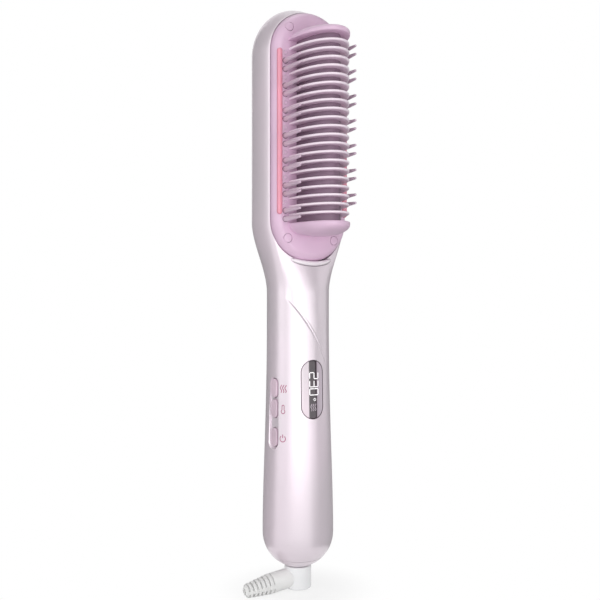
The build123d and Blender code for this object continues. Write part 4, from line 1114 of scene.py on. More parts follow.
@dataclass
class Housing:
    """Front housing and rear cover, two thin shells cut from one form."""

    form: BodyForm = field(default_factory=BodyForm)
    split_y: float = 9.5
    wall: float = 2.0
    cap_seam_z: float = -61.5
    seam: float = 0.12           # half the width of a seam
    slot_half_width: float = 21.0
    slot_low_z: float = 106.2
    slot_floor: float = 8.6
    window_z: float = 23.3
    window_half_width: float = 5.8
    window_half_span: float = 8.36
    # width of the gap round the window, filled with a dark ring of painted shade
    window_seal: float = 0.35
    window_x: float = -0.45
    window_depth: float = 1.35
    button_angle: float = -77.0
    recess_z: float = 11.75
    recess_half_width: float = 3.2
    recess_half_span: float = 14.15
    recess_floor: float = 15.1
    recess_edge: Pair = (15.75, 16.9)  # where its side starts and stops to flare
    recess_flare: float = 0.9
    button_places: tuple[float, ...] = (23.7, 13.7, -0.4)
    button_half_width: float = 2.3
    button_half_span: float = 2.55
    button_well: float = 13.4
    well_top: float = 15.6
    screw_places: tuple[float, ...] = (-45.5, 62.5)
    fill_z: float = 182.0
    lip_radius: float = 1.35
    lip_gap: float = 0.4
    lip_flatness: float = 0.85
    lip_middle: Triple = (0.8, -13.95, 84.9)
    lip_half_length: float = 11.7
    lip_ends: Pair = (3.2, 2.2)  # how far its ends lie back and up
    lip_run: float = 12.4        # the less, the more its sections turn with the curve
    cut_past: float = 3.0        # how far a window cutter stands out of the grip
    past_back: float = 24.0      # ends of the cutters outside the housing
    past_side: float = 22.0
    past_front: float = 30.0

    def side_place(self, z: float) -> Place:
        """Places a shape that faces the button side.

        Args:
            z: its height.

        Returns:
            What puts across, along and height in space.
        """
        turn = math.radians(self.button_angle)
        out = np.array((math.sin(turn), -math.cos(turn), 0.0))
        across = np.array((math.cos(turn), math.sin(turn), 0.0))

        def place(u: Array, v: Array, h: Array) -> Array:
            """Across, up and outwards."""
            flat = across * u[:, None] + out * h[:, None]
            flat[:, 2] = z + v
            return flat
        return place

    def grip_place(self, z: float, x: float = 0.0) -> Place:
        """Places a shape on the front of the grip; its height is from the surface.

        Args:
            z: up.
            x: across.

        Returns:
            What puts across, along and height in space.
        """
        def place(u: Array, v: Array, h: Array) -> Array:
            """Across, up and out of the surface."""
            radius = self.form.radius(z + v) + h
            side = np.clip(x + u, -radius, radius)
            return np.stack([x + u, -np.sqrt(radius**2 - side**2), z + v], -1)
        return place

    def slab(self, source: Item, name: str, cuts: Sequence[tuple[Vector, Vector]]) -> Item:
        """Keeps the part of the form behind each cutting plane, and closes it.

        Args:
            source: the whole form.
            name: the new object's name.
            cuts: a point and an outward direction for each plane.

        Returns:
            The closed part.
        """
        shape = bmesh.new()
        shape.from_mesh(source.data)
        for point, outward in cuts:
            bmesh.ops.bisect_plane(
                shape, geom=shape.verts[:] + shape.edges[:] + shape.faces[:], dist=1e-7,
                plane_co=point * MM, plane_no=outward, clear_outer=True,
            )
            bmesh.ops.holes_fill(shape, edges=[e for e in shape.edges if e.is_boundary], sides=0)
        bmesh.ops.recalc_face_normals(shape, faces=shape.faces)
        return finish_mesh(name, shape)

    def front_cutters(self) -> list[Item]:
        """Shapes that are cut out of the front housing.

        Returns:
            The cutters.
        """
        low, high = self.slot_low_z, self.form.head_arc_z
        (edge, rim), flare = self.recess_edge, self.recess_flare
        pocket, deep = self.window_half_width + self.window_seal, -self.window_depth
        window = [(pocket, deep)] + [(pocket * k / 6, deep) for k in range(5, -1, -1)]
        window += [(pocket * k / 6, self.cut_past) for k in range(7)]
        return [
            pill("slot_cutter", self.slot_half_width, (high - low) / 2,
                 [(0, self.slot_floor), (0, self.past_front)],
                 front_place(0, (low + high) / 2), 40),
            pill("window_cutter", pocket, self.window_half_span, window,
                 self.grip_place(self.window_z, self.window_x), 24, 12),
            pill("recess_cutter", self.recess_half_width, self.recess_half_span,
                 [(0, self.recess_floor), (0, edge), (-flare, rim), (-flare, self.past_side)],
                 self.side_place(self.recess_z), 20),
            self.lip("lip_cutter", self.lip_radius + self.lip_gap),
        ] + [
            pill("well_cutter", self.button_half_width, self.button_half_span,
                 [(0, self.button_well), (0, self.well_top)], self.side_place(z), 16)
            for z in self.button_places
        ]

    def at_back(self, name: str, z: float, profile: Sequence[Pair], steps: int = 32) -> Item:
        """Turned shape round an axis that runs to the back at a height."""
        return turned(name, profile, Matrix.Translation((0, 0, z)) @ TO_BACK, steps)

    def rear_cutters(self) -> list[Item]:
        """Shapes that are cut out of the rear cover."""
        screw = [(1.1, 9.0), (1.1, 12.5), (2.4, 12.5), (2.4, self.past_back)]
        fill = [(3.3, 9.0), (3.3, 13.3), (5.8, 13.3), (5.8, self.past_back)]
        return [self.at_back("screw_cutter", z, screw) for z in self.screw_places] + [
            self.at_back("fill_cutter", self.fill_z, fill, 48)]

    def room(self) -> Item:
        """The space inside the shells, with a column left standing at each screw."""
        column = [(3.0, 9.0), (3.0, self.past_back)]
        columns = [self.at_back("column", z, column) for z in self.screw_places]
        return carve(self.form.hollow(self.wall).build(), columns)

    def lip(self, name: str, radius: float) -> Item:
        """Crescent bead under the face plate, thinner at its ends.

        Args:
            name: the object's name.
            radius: at its middle.

        Returns:
            The bead.
        """
        steps, around = 48, 16
        centre, (back, lift) = self.lip_middle, self.lip_ends
        points = []
        for k in range(steps + 1):
            share = 2 * k / steps - 1
            middle = (centre[0] + self.lip_half_length * share, centre[1] + back * share**2,
                      centre[2] + lift * share**2)
            along = np.array((self.lip_run, 2 * back * share, 2 * lift * share))
            along /= np.linalg.norm(along)
            out = np.cross(along, (0, 0, 1))
            out /= np.linalg.norm(out)
            up = np.cross(out, along)
            size = radius * max(1 - share**6, 0.0) ** 0.5
            for j in range(around):
                turn = 2 * math.pi * j / around
                ring = out * math.cos(turn) + up * math.sin(turn) * self.lip_flatness
                points.append(middle + size * ring)
        return from_arrays(name, points, grid_faces(steps + 1, around))

    def build(self, shop: Workshop) -> None:
        """Builds the two shells and the lip.

        Args:
            shop: the workshop.
        """
        whole = self.form.build()
        low, back = Vector((0, 0, self.cap_seam_z + self.seam)), Vector((0, 1, 0))
        for word, cutters, side, node in (("front", self.front_cutters(), 1, "front_housing"),
                                          ("rear", self.rear_cutters(), -1, "rear_cover")):
            parting = Vector((0, self.split_y - side * self.seam, 0))
            shell = self.slab(whole, f"shell_{word}", [(parting, side * back),
                                                       (low, Vector((0, 0, -1)))])
            keep_curve(carve(shell, [self.room(), *cutters]), whole.data)
            shop.fit(shell, "root", Slot.shell, stands_for=[node])
        # the lip bead is moulded with the shell and painted lighter as a painted highlight
        shop.fit(smooth(self.lip("lip_bead", self.lip_radius), 60), "root", Slot.shell, Ink.lip)
        bpy.data.objects.remove(whole)


# ---------------------------------------------------------------- places beside the fins
@dataclass(frozen=True)
class SideRow:
    """Row of places on each side of the fins; every third is left to the steam."""

    x: float = 15.4
    front: float = 14.9
    middle_z: float = 148.0
    pitch: float = 4.0
    count: int = 21

    def lay(self, shop: Workshop, item: Item, side: int, finish: Slot | Ink,
            steam: bool = False) -> None:
        """Repeats a piece along one side.

        Args:
            shop: the workshop.
            item: the object with one piece's mesh, round the axis that runs to the front.
            side: -1 at the left, 1 at the right.
            finish: what it is made of.
            steam: whether it stands in the steam's places, not in the others.
        """
        first_z = self.middle_z + side * self.pitch * self.count / 2
        shop.rows.lay(
            item, Count=self.count, Start=(side * self.x * MM, -self.front * MM, first_z * MM),
            Step=(0.0, 0.0, -side * self.pitch * MM), Leave_Out_Every=3, Leave_Out_From=1,
            Keep_Only_Those=steam, Finish=shop.material(finish),
        )


# ---------------------------------------------------------------- face plate
@dataclass
class FacePlate:
    """Plate with round ends, its plugs and the two strips."""

    row: SideRow = SideRow()
    half_width: float = 20.6
    low_z: float = 106.2
    high_z: float = 187.7
    wall: float = 1.8
    edge_width: float = 4.2
    edge_depth: float = 4.8
    skirt: float = 9.0
    plug_places: tuple[Pair, ...] = ((-13.8, 96.9), (12.2, 96.4), (-13.0, 199.0), (12.4, 198.8))
    plug_radius: float = 2.05
    plug_gap: float = 0.24
    plug_depth: float = 1.2
    opening_half: Pair = (9.1, 43.5)  # across and up
    opening_depths: Pair = (12.0, 20.0)
    strip_x: float = 18.35
    strip_half_width: float = 1.25
    strip_half_span: float = 38.55
    strip_front: float = 15.8
    strip_gap: float = 0.15

    def plate(self) -> tuple[Item, Item]:
        """The plate, cut for plugs and strips, and the plugs with the same front.

        Returns:
            The plate and the plugs.
        """
        front, inside = self.row.front, self.row.front - self.wall
        rings = [(self.half_width, inside), (self.wall, inside), (self.wall, self.skirt),
                 (0.0, self.skirt)]
        rings += [(self.edge_width * (1 - c), front - self.edge_depth * (1 - s))
                  for c, s in quarter(12)]
        rings += [(self.edge_width + (self.half_width - self.edge_width) * k / 4, front)
                  for k in range(1, 5)]
        item = pill("face_plate_front", self.half_width, (self.high_z - self.low_z) / 2, rings,
                    front_place(0, (self.low_z + self.high_z) / 2), 48, 6)
        plugs = link("plate_plugs", item.data.copy())
        plug_columns = self.columns("plug_column", self.plug_radius, self.plug_depth)
        carve(plugs, [join("plug_columns", plug_columns)], "INTERSECT")
        cutters = self.columns("plug_cutter", self.plug_radius + self.plug_gap, 1.0)
        cutters += [
            pill("strip_cutter", self.strip_half_width + self.strip_gap, self.strip_half_span,
                 [(0, front - 0.8), (0, front + 3)],
                 front_place(side * self.strip_x, self.row.middle_z), 16)
            for side, _ in SIDES
        ]
        across, up = self.opening_half
        cutters.append(bar("comb_cutter", [
            np.array([(across * x, -y, self.row.middle_z + up * z) for y in self.opening_depths])
            for x, z in ((-1, -1), (1, -1), (1, 1), (-1, 1))
        ]))
        return smooth(carve(item, cutters), 30), smooth(plugs, 30)

    def columns(self, name: str, radius: float, depth: float) -> list[Item]:
        """A round column at each plug, from a depth under the plate's front outwards."""
        rings = [(0, self.row.front - depth), (0, self.row.front + 2)]
        return [pill(name, radius, 0.0, rings, front_place(*spot), 20)
                for spot in self.plug_places]

    def build(self, shop: Workshop) -> None:
        """Builds the plate, plugs, strips and steam outlets.

        Args:
            shop: the workshop.
        """
        plate, plugs = self.plate()
        shop.fit(plate, "root", Slot.plate, stands_for=["face_plate"])
        shop.fit(plugs, "root", Slot.plate, stands_for=["screw_plugs"])
        rings = round_edge(self.strip_half_width, self.row.front - 0.7, self.strip_front, 0.8,
                           5, 0.1)
        nozzle = [(0.8, -0.6), (1.15, -0.6), (1.15, 0.18), (1.0, 0.3), (0.8, 0.3), (0.8, -0.6)]
        for side, word in SIDES:
            strip = pill(f"strip_{word}", self.strip_half_width, self.strip_half_span, rings,
                         front_place(side * self.strip_x, self.row.middle_z), 16)
            shop.fit(smooth(strip), "root", Slot.strip, stands_for=[f"side_strip_{word}"])
            outlets = turned(f"outlets_{word}", nozzle, TO_FRONT, 16)
            self.row.lay(shop, outlets, side, Slot.teeth, steam=True)
            shop.fit(smooth(outlets), "root", Slot.teeth)


# ---------------------------------------------------------------- comb
@dataclass
class Comb:
    """Fins, side teeth and the two end caps."""

    row: SideRow = SideRow()
    half_width: float = 13.3
    reach: float = 25.6
    thickness: float = 1.1
    blade_edge: float = 0.03     # share of the blade that its rounded edge takes
    tooth_reach: float = 14.9
    tooth_sunk: float = 1.8
    tooth_root: float = 1.2
    tooth_tip: float = 0.62
    tooth_bulge: float = 0.1
    cap_half_width: float = 13.7
    cap_reach: float = 26.0
    cap_rim: float = 1.5
    cap_soft: float = 0.7
    cap_depths: Pair = (4.8, 6.2)  # top and bottom
    cap_foot: Pair = (8.0, 7.0)
    cap_from_middle: float = 44.0

    def half_ellipses(self, name: str, rings: Sequence[Triple], base: Pair = (0.0, 0.0),
                      side: int = 1, rim: float = 0.0) -> Item:
        """Solid through half ellipses that stand on the plate.

        Args:
            name: the object's name.
            rings: half width, reach and height of each, from a point to a point.
            base: where the plate's front and height 0 are, along Y and Z.
            side: 1 where the height runs up, -1 where it runs down.
            rim: height of the upright edge, which runs out where it meets the plate.

        Returns:
            The solid.
        """
        steps = 48
        points = []
        for half_width, reach, height in rings:
            for k in range(steps + 1):
                turn = math.pi * k / steps
                lost = min(max(height, 0.0), rim) * (1 - abs(math.sin(turn)) ** 0.5)
                points.append((half_width * math.cos(turn), base[0] - reach * math.sin(turn),
                               base[1] + side * (height - lost)))
        faces = grid_faces(len(rings), steps + 1, around=False)
        right = [i * (steps + 1) for i in range(len(rings))]
        left = [i + steps for i in reversed(right)]
        faces.append(tuple(right + left[1:-1]))
        return from_arrays(name, points, faces)

    def blade(self) -> Item:
        """One fin: a half ellipse with a rounded outer edge.

        Returns:
            The fin.
        """
        half, flat = self.thickness / 2, (0.0, 0.3, 0.6, 0.85)
        rings = [(share, -half) for share in flat]
        for k in range(9):
            turn = -math.pi / 2 + math.pi * k / 8
            rings.append((1 - self.blade_edge + self.blade_edge * math.cos(turn),
                          half * math.sin(turn)))
        rings += [(share, half) for share in reversed(flat)]
        return self.half_ellipses("comb_blades", [
            (self.half_width * share, self.reach * share, height) for share, height in rings])

    def end_cap(self, side: int, word: str) -> Item:
        """Boat-shaped cap that closes the row of fins.

        Args:
            side: 1 at the top, -1 at the bottom.
            word: top or bottom.

        Returns:
            The cap.
        """
        width, reach, soft = self.cap_half_width, self.cap_reach, self.cap_soft
        foot, depth = self.cap_foot, self.cap_depths[0 if side > 0 else 1]
        rings = [(width * k / 4 - soft * k / 4, reach * k / 4 - soft * k / 4, 0.0)
                 for k in range(4)]
        rings += [(width - soft * (1 - s), reach - soft * (1 - s), soft * (1 - c))
                  for c, s in quarter(5)]
        rings += [(foot[0] + (width - foot[0]) * c, foot[1] + (reach - foot[1]) * c,
                   self.cap_rim + (depth - self.cap_rim) * s) for c, s in quarter(14)]
        rings += [(foot[0] * k / 3, foot[1] * k / 3, depth) for k in (2, 1, 0)]
        base = (-self.row.front, self.row.middle_z + side * self.cap_from_middle)
        return self.half_ellipses(f"end_cap_{word}", rings, base, side, self.cap_rim)

    def teeth(self, shop: Workshop, side: int, word: str) -> None:
        """One side's row of blunt teeth, each with a dark ring of painted shade round its root.

        Args:
            shop: the workshop.
            side: -1 at the left, 1 at the right.
            word: left or right.
        """
        root, tip, straight = self.tooth_root, self.tooth_tip, self.tooth_reach - self.tooth_tip
        profile = [(0.0, -self.tooth_sunk), (root, -self.tooth_sunk)]
        for k in range(9):
            share = k / 8
            bulge = self.tooth_bulge * math.sin(math.pi * share)
            profile.append((root + (tip - root) * share + bulge, straight * share))
        profile += [(tip * c, straight + tip * s) for c, s in quarter(5, 1)]
        # dark ring of painted shade round each tooth's root
        rim = [(1.22, -0.5), (1.48, -0.5), (1.48, 0.03), (1.22, 0.03), (1.22, -0.5)]
        tooth = turned(f"teeth_{word}", profile, TO_FRONT, 20)
        self.row.lay(shop, tooth, side, Slot.teeth)
        shop.fit(smooth(tooth, 50), "root", Slot.teeth, stands_for=[f"tooth_bar_{word}"])
        socket = turned(f"root_shade_rings_{word}", rim, TO_FRONT, 20)
        self.row.lay(shop, socket, side, Ink.socket)
        shop.fit(smooth(socket, 50), "root", ink=Ink.socket)

    def build(self, shop: Workshop) -> None:
        """Builds the fins, the teeth and the end caps.

        Args:
            shop: the workshop.
        """
        blades, row = self.blade(), self.row
        low = row.middle_z - row.pitch * (row.count - 1) / 2
        shop.rows.lay(blades, Count=row.count, Start=(0.0, -row.front * MM, low * MM),
                      Step=(0.0, 0.0, row.pitch * MM), Finish=shop.material(Slot.fins))
        shop.fit(smooth(blades, 40), "root", Slot.fins, stands_for=["comb_fins"])
        for side, word in SIDES:
            self.teeth(shop, side, word)
        for side, word in ((1, "top"), (-1, "bottom")):
            shop.fit(smooth(self.end_cap(side, word), 45), "root", Slot.plate,
                     stands_for=[f"comb_end_{word}"])


# ---------------------------------------------------------------- display and icons
@dataclass
class Display:
    """Window on the front of the grip with a dark ring of painted shade round it, digits and
    marks.
    """

    housing: Housing
    digits: str = "230"
    digit_width: float = 3.0
    digit_height: float = 4.7
    digit_pitch: float = 3.95
    first_digit_z: float = 31.6
    digit_left_x: float = -2.3
    digit_gap: float = 0.12      # between two segments
    stroke: float = 0.43
    lift: float = 0.03
    line_thickness: float = 0.12
    degree_radius: float = 0.55
    window_soft: float = 0.3     # how wide the window's edge is rounded
    window_sunk: float = 0.02
    window_back: float = 1.15
    mist_x: Triple = (-1.5, -0.4, 0.7)
    mist_z: Pair = (12.9, 16.4)

    SEGMENTS = {"0": "abcdef", "2": "abged", "3": "abgcd"}

    def ribbon(self, name: str, path: Sequence[Pair], width: float, place: Place) -> Item:
        """Flat line on a surface, half of its thickness sunk.

        Args:
            name: the object's name.
            path: across and up of each point.
            width: of the line.
            place: puts across, up and height in space.

        Returns:
            The line as a closed solid.
        """
        track = np.array(path, float)
        along = np.gradient(track, axis=0)
        along /= np.linalg.norm(along, axis=1)[:, None]
        side = np.stack([-along[:, 1], along[:, 0]], -1) * width / 2
        left, right, sunk = track + side, track - side, -self.line_thickness / 2
        return bar(name, [
            place(edge[:, 0], edge[:, 1], np.full(len(edge), height))
            for edge, height in ((left, sunk), (left, self.lift), (right, self.lift),
                                 (right, sunk))
        ], weld=0.0005)

    def line(self, start: Pair, end: Pair, steps: int = 6) -> list[Pair]:
        """Points along a straight line."""
        return [(start[0] + (end[0] - start[0]) * k / steps,
                 start[1] + (end[1] - start[1]) * k / steps) for k in range(steps + 1)]

    def segment_paths(self, digit: str, top_z: float) -> list[list[Pair]]:
        """Lines of one digit that reads down the grip, with its head to the right.

        Args:
            digit: the digit.
            top_z: height of its left side.

        Returns:
            A path for each lit segment.
        """
        low, high = self.digit_left_x, self.digit_left_x + self.digit_height
        near, far = top_z, top_z - self.digit_width
        mid, gap, half = (low + high) / 2, self.digit_gap, self.stroke / 2
        ends = {
            "a": ((high, near - gap), (high, far + gap)),
            "b": ((high - half, far), (mid + gap, far)),
            "c": ((mid - gap, far), (low + half, far)),
            "d": ((low, near - gap), (low, far + gap)),
            "e": ((mid - gap, near), (low + half, near)),
            "f": ((high - half, near), (mid + gap, near)),
            "g": ((mid, near - gap), (mid, far + gap)),
        }
        return [self.line(*ends[letter]) for letter in self.SEGMENTS[digit]]

    def wave(self, across: float, low: float, high: float, swing: float) -> list[Pair]:
        """One wavy steam line that rises from low to high."""
        shares = [k / 14 for k in range(15)]
        return [(across + swing * math.sin(2 * math.pi * share * 1.25),
                 low + (high - low) * share) for share in shares]

    def ring_path(self, x: float, z: float, radius: float, start: float = 0.0,
                  end: float = 360.0, steps: int = 20) -> list[Pair]:
        """Points round an arc, in degrees from the right."""
        turns = [math.radians(start + (end - start) * k / steps) for k in range(steps + 1)]
        return [(x + radius * math.cos(t), z + radius * math.sin(t)) for t in turns]

    def build(self, shop: Workshop) -> None:
        """Builds window, the dark ring of painted shade round it, digits and marks.

        Args:
            shop: the workshop.
        """
        house = self.housing
        width, span = house.window_half_width, house.window_half_span
        window_place = house.grip_place(house.window_z, house.window_x)
        soft, sunk, back = self.window_soft, -self.window_sunk, -self.window_back
        rings = [(width * k / 5, back) for k in range(5, -1, -1)]
        rings += [(0.0, -0.2), (0.04, -0.1), (0.12, -0.04), (soft, sunk)]
        rings += [(soft + (width - soft) * k / 10, sunk) for k in range(1, 11)]
        window = pill("window", width, span, rings, window_place, 28, 12)
        shop.fit(smooth(window, 50), "root", Slot.lens, stands_for=["display_lens"])
        # dark ring of painted shade that fills the gap round the window
        outer = width + house.window_seal - 0.02
        rim = outer - width
        seal = pill("window_seal", outer, span,
                    [(0, -1.1), (0, -0.03), (0.1, 0.0), (rim - 0.05, 0.0),
                     (rim - 0.02, -0.05), (rim - 0.02, -1.1)], window_place, 28, 12, hoop=True)
        shop.fit(smooth(seal, 50), "root", ink=Ink.seal)
        place = house.grip_place(0.0)
        tops = [self.first_digit_z - i * self.digit_pitch for i in range(len(self.digits))]
        lit = [self.ribbon("segment", path, self.stroke, place)
               for digit, top in zip(self.digits, tops) for path in self.segment_paths(digit, top)]
        degree_z = self.first_digit_z - len(self.digits) * self.digit_pitch - 1.3
        degree = self.ring_path(0.4, degree_z, self.degree_radius)
        lit.append(self.ribbon("degree", degree, 0.28, place))
        shop.fit(join("lit_digits", lit), "root", ink=Ink.lit)
        marks = [self.ribbon("mist", self.wave(x, *self.mist_z, 0.28), 0.34, place)
                 for x in self.mist_x]
        shop.fit(join("lit_mist_mark", marks), "root", ink=Ink.dim)


@dataclass
class Icons:
    """Printed marks beside the buttons: steam, temperature and power."""

    display: Display
    angle: float = -56.0
    stroke: float = 0.39

    def place(self, z: float) -> Place:
        """Places a mark on the grip's surface at the icons' angle.

        Args:
            z: its height.

        Returns:
            What puts across, along and height in space.
        """
        form = self.display.housing.form
        start = math.radians(self.angle)

        def place(u: Array, v: Array, h: Array) -> Array:
            """Round the grip, up and out of it."""
            radius = form.radius(z + v)
            turn = start + u / radius
            return np.stack([(radius + h) * np.sin(turn), -(radius + h) * np.cos(turn), z + v], -1)
        return place

    def build(self, shop: Workshop) -> None:
        """Builds the three marks, one beside each button.

        Args:
            shop: the workshop.
        """
        pen = self.display
        marks = (
            ("steam", 1.0, [pen.wave(x, -1.9, 1.9, 0.38) for x in (-1.25, 0.0, 1.25)]),
            ("temperature", 0.9, [
                pen.ring_path(0.0, -1.1, 1.0, 125, 415), pen.line((-0.57, -0.2), (-0.57, 1.5), 5),
                pen.line((0.57, -0.2), (0.57, 1.5), 5), pen.ring_path(0.0, 1.5, 0.57, 0, 180, 8)]),
            ("power", 1.0, [pen.ring_path(0, -0.2, 1.5, 125, 415, 24),
                            pen.line((0, 0.1), (0, 1.9))]),
        )
        for (word, weight, paths), z in zip(marks, pen.housing.button_places):
            place = self.place(z)
            lines = [pen.ribbon("line", path, self.stroke * weight, place) for path in paths]
            shop.fit(join(f"icon_{word}", lines), "root", ink=Ink.icon)


# ---------------------------------------------------------------- cord outlet
@dataclass
class CordGuard:
    """White slotted guard that leaves the swivelling boss sideways."""

    tail_z: float = -71.6
    droop: float = 6.8
    root_start: float = 5.2
    root_radius: float = 4.9
    end_radius: float = 2.3
    last_radius: float = 3.6
    length: float = 30.1
    ring_start: float = 15.4
    ring_count: int = 6
    ring_pitch: float = 2.18
    ring_thickness: float = 1.86
    ring_hole: float = 0.62      # share of its radius
    bridge_inner: float = 2.6
    bridge_angle: float = 84.0   # from the top, round to each side
    bridge_half_angle: float = 13.0
    bore: float = 1.5
    bore_start: float = 11.0

    def axis(self) -> Matrix:
        """Turns the Z axis onto the guard's axis, in metres."""
        turn = math.radians(self.droop)
        out, side = Vector((-math.cos(turn), 0, -math.sin(turn))), Vector((0, 1, 0))
        turn_matrix = Matrix((out.cross(side), side, out)).transposed().to_4x4()
        return Matrix.Translation((0, 0, self.tail_z * MM)) @ turn_matrix

    def build(self, shop: Workshop) -> None:
        """Builds the core with its collar, the rings and the bridges between them.

        Args:
            shop: the workshop.
        """
        size, half = self.root_radius, self.ring_thickness / 2
        gap = self.ring_pitch - self.ring_thickness
        core_end = self.ring_start + self.ring_count * self.ring_pitch + gap
        core = [(0.0, self.root_start), (size, self.root_start), (size, self.ring_start - 0.3),
                (size - 0.25, self.ring_start), (3.4, self.ring_start), (1.9, core_end),
                (self.last_radius - 0.5, core_end), (self.last_radius - 0.3, core_end + 0.2),
                (self.end_radius, self.length - 0.5), (self.end_radius - 0.4, self.length),
                (self.bore, self.length), (self.bore, self.bore_start), (0.0, self.bore_start)]
        hole = self.ring_hole * size
        ring = [(hole, -half), (size - 0.3, -half), (size, -half + 0.3),
                (size, half - 0.3), (size - 0.3, half), (hole, half)]
        first = self.ring_start + self.ring_pitch - half
        scale = self.last_radius / size
        parts = [turned("guard_core", core, None, 40)]
        for item, extra, start, end in (
            (turned("guard_rings", ring, None, 40), 0, first, scale),
            (self.web(), 1, first - self.ring_pitch / 2, scale * 0.94),
        ):
            parts.append(shop.rows.lay(
                item, Count=self.ring_count + extra, Start=(0, 0, start * MM),
                Step=(0, 0, self.ring_pitch * MM), End_Scale=end,
                Finish=shop.material(Slot.white_rubber),
            ))
        guard = join("cord_guard", parts)
        guard.data.transform(self.axis())
        shop.fit(smooth(guard, 40), "cord_swivel", Slot.white_rubber, stands_for=["strain_relief"])

    def web(self) -> Item:
        """Two bridges across one slot, on opposite sides.

        Returns:
            Both as one object.
        """
        sides, half = [], self.ring_pitch / 2
        for side in (-1, 1):
            away = self.bridge_angle + self.bridge_half_angle * np.linspace(-1, 1, 11)
            turn = side * np.radians(away)
            inner, outer = self.bridge_inner, self.root_radius - 0.06
            sides.append(bar("web", [
                np.stack([radius * np.cos(turn), radius * np.sin(turn), 0 * turn + height], -1)
                for radius, height in ((inner, -half), (inner, half), (outer, half),
                                       (outer, -half))
            ]))
        return join("guard_webs", sides)


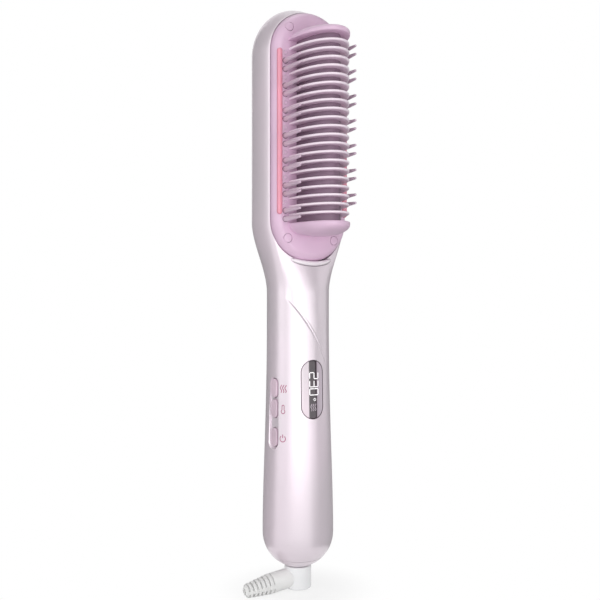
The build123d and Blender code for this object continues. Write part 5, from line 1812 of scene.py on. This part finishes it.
# ---------------------------------------------------------------- studio
@dataclass
class Studio:
    """Pale floor, soft lights and the camera."""

    camera_place: Triple = (-0.2071, -0.3663, 0.068)
    camera_turn: float = 29.6
    lens: float = 50.0
    sensor: float = 36.0
    shift: Pair = (0.0007, -0.0033)
    clip: Pair = (0.01, 20.0)
    floor_z: float = -0.0785
    floor_half: float = 4.0
    floor_greys: Pair = (0.8, 0.84)
    shadow_reach: Pair = (0.012, 0.045)  # where the shadow starts and stops to fade
    shadow_share: float = 0.2
    world: float = 0.42
    card_distance: float = 0.8
    card_top: float = 0.8
    card_grey: float = 0.6
    card_inner: float = 0.045
    card_roof: float = 0.3
    card_span: Pair = (14.0, 252.0)  # from the front, towards +X, in degrees

    # name, place, target, width and height, watts
    LAMPS = (
        ("key_box", (-0.545, -0.717, 0.15), (0, 0, 0.06), (1.0, 1.3), 4.2),
        ("side_box", (-0.80, 0.02, 0.15), (0, 0, 0.06), (0.4, 1.2), 1.0),
        ("right_box", (0.62, -0.2, 0.2), (0, 0, 0.1), (0.6, 0.9), 0.95),
        ("low_box", (-0.05, -0.4, -0.05), (0, -0.03, 0.16), (0.8, 0.3), 1.1),
        ("back_box", (0.2, 0.5, 0.42), (0, 0, 0.06), (0.6, 0.6), 0.8),
        ("top_box", (0.08, 0.08, 1.1), (0, 0, 0.1), (0.4, 0.4), 0.8),
    )

    def looked_at(self, maker: NodeMaker) -> Value:
        """Tells where the camera, gloss or glass looks.

        Args:
            maker: of the tree.

        Returns:
            1 there, else 0.
        """
        path = maker.make("ShaderNodeLightPath").outputs
        camera, gloss, glass = (
            Value(maker, path[f"Is {ray} Ray"]) for ray in ("Camera", "Glossy", "Transmission"))
        return camera.larger(gloss).larger(glass)

    def matte(self, item: Item, name: str, blotch: float, low: float,
              high: float) -> tuple[NodeMaker, Socket]:
        """Gives a stage piece a material of its own, with a matte grey in its tree.

        Args:
            item: the piece.
            name: the material's name.
            blotch: size of its soft drift, in metres.
            low: the darker grey.
            high: the lighter grey.

        Returns:
            The maker of its tree and the matte shader's socket.
        """
        paint = bpy.data.materials.new(name)
        item.data.materials.append(paint)
        maker = NodeMaker.of(paint)
        cloud = maker.clouds(blotch, (low, low, low, 1), (high, high, high, 1))
        return maker, maker.make("ShaderNodeBsdfDiffuse", {"Color": cloud}).outputs[0]

    def floor(self) -> None:
        """A wide pale floor."""
        half = self.floor_half / MM
        corners = [(half * x, half * y, self.floor_z / MM)
                   for x, y in ((-1, -1), (1, -1), (1, 1), (-1, 1))]
        item = from_arrays("floor", corners, [(0, 1, 2, 3)])
        maker, matte = self.matte(item, "pale_floor", 0.3, *self.floor_greys)
        across, deep, _ = maker.axes()
        away = (across * across + deep * deep) ** 0.5
        fade = away.ramp(*self.shadow_reach) * self.shadow_share + (1 - self.shadow_share)
        white = maker.make("ShaderNodeEmission", {"Color": WHITE, "Strength": 1.0}).outputs[0]
        inputs = {0: self.looked_at(maker) * fade, 1: matte, 2: white}
        mixed = maker.make("ShaderNodeMixShader", inputs).outputs[0]
        maker.make("ShaderNodeOutputMaterial", {0: mixed})

    def cards(self) -> None:
        """Grey card round the sides and back, which the camera sees past."""
        arc = np.radians(np.linspace(*self.card_span, 33))
        rim = self.floor_z + MM
        ring = [np.stack([r * np.sin(arc), -r * np.cos(arc), z + 0 * arc], -1) / MM
                for r, z in ((self.card_inner, rim), (self.card_distance, rim),
                             (self.card_distance, self.card_top), (self.card_roof, self.card_top))]
        item = from_arrays("grey_card", np.concatenate(ring), grid_faces(4, 33, around=False))
        maker, matte = self.matte(item, "card_grey", 0.2, self.card_grey * 0.9, self.card_grey)
        maker.make("ShaderNodeOutputMaterial", {0: matte})
        item.visible_camera = False

    def sky(self) -> None:
        """Even light from all round, white where the camera looks."""
        world = bpy.data.worlds.new("studio_world")
        bpy.context.scene.world = world
        maker = NodeMaker.of(world)
        soft, white = (
            maker.make("ShaderNodeBackground", {"Color": WHITE, "Strength": strength}).outputs[0]
            for strength in (self.world, 1.0)
        )
        inputs = {0: self.looked_at(maker), 1: soft, 2: white}
        mixed = maker.make("ShaderNodeMixShader", inputs).outputs[0]
        maker.make("ShaderNodeOutputWorld", {0: mixed})

    def lamps(self) -> None:
        """Soft boxes round the object."""
        for name, place, target, size, power in self.LAMPS:
            light = bpy.data.lights.new(name, "AREA")
            light.shape = "RECTANGLE"
            light.size, light.size_y = size
            light.energy = power
            item = link(name, light)
            item.location = place
            aim = Vector(target) - Vector(place)
            item.rotation_euler = aim.to_track_quat("-Z", "Y").to_euler()
            item.visible_camera = False

    def camera(self) -> None:
        """The camera, level, from the front left."""
        data = bpy.data.cameras.new("view")
        data.lens, data.sensor_width = self.lens, self.sensor
        data.shift_x, data.shift_y = self.shift
        data.clip_start, data.clip_end = self.clip
        item = link("view", data)
        item.location = self.camera_place
        item.rotation_euler = (math.pi / 2, 0, -math.radians(self.camera_turn))
        bpy.context.scene.camera = item

    def build(self) -> None:
        """Sets the studio up."""
        self.floor()
        self.sky()
        self.cards()
        self.lamps()
        self.camera()
        bpy.context.scene.view_settings.view_transform = "Standard"


def main() -> None:
    """Builds the brush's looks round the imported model."""
    logging.basicConfig(level=logging.INFO, format="%(name)s: %(message)s")
    shop = Workshop()
    shop.dress_nodes()
    housing = Housing()
    housing.build(shop)
    FacePlate().build(shop)
    Comb().build(shop)
    display = Display(housing)
    display.build(shop)
    Icons(display).build(shop)
    CordGuard().build(shop)
    Studio().build()
    log.info("%d pieces fitted", len(shop.pieces))


if __name__ == "__main__":
    main()
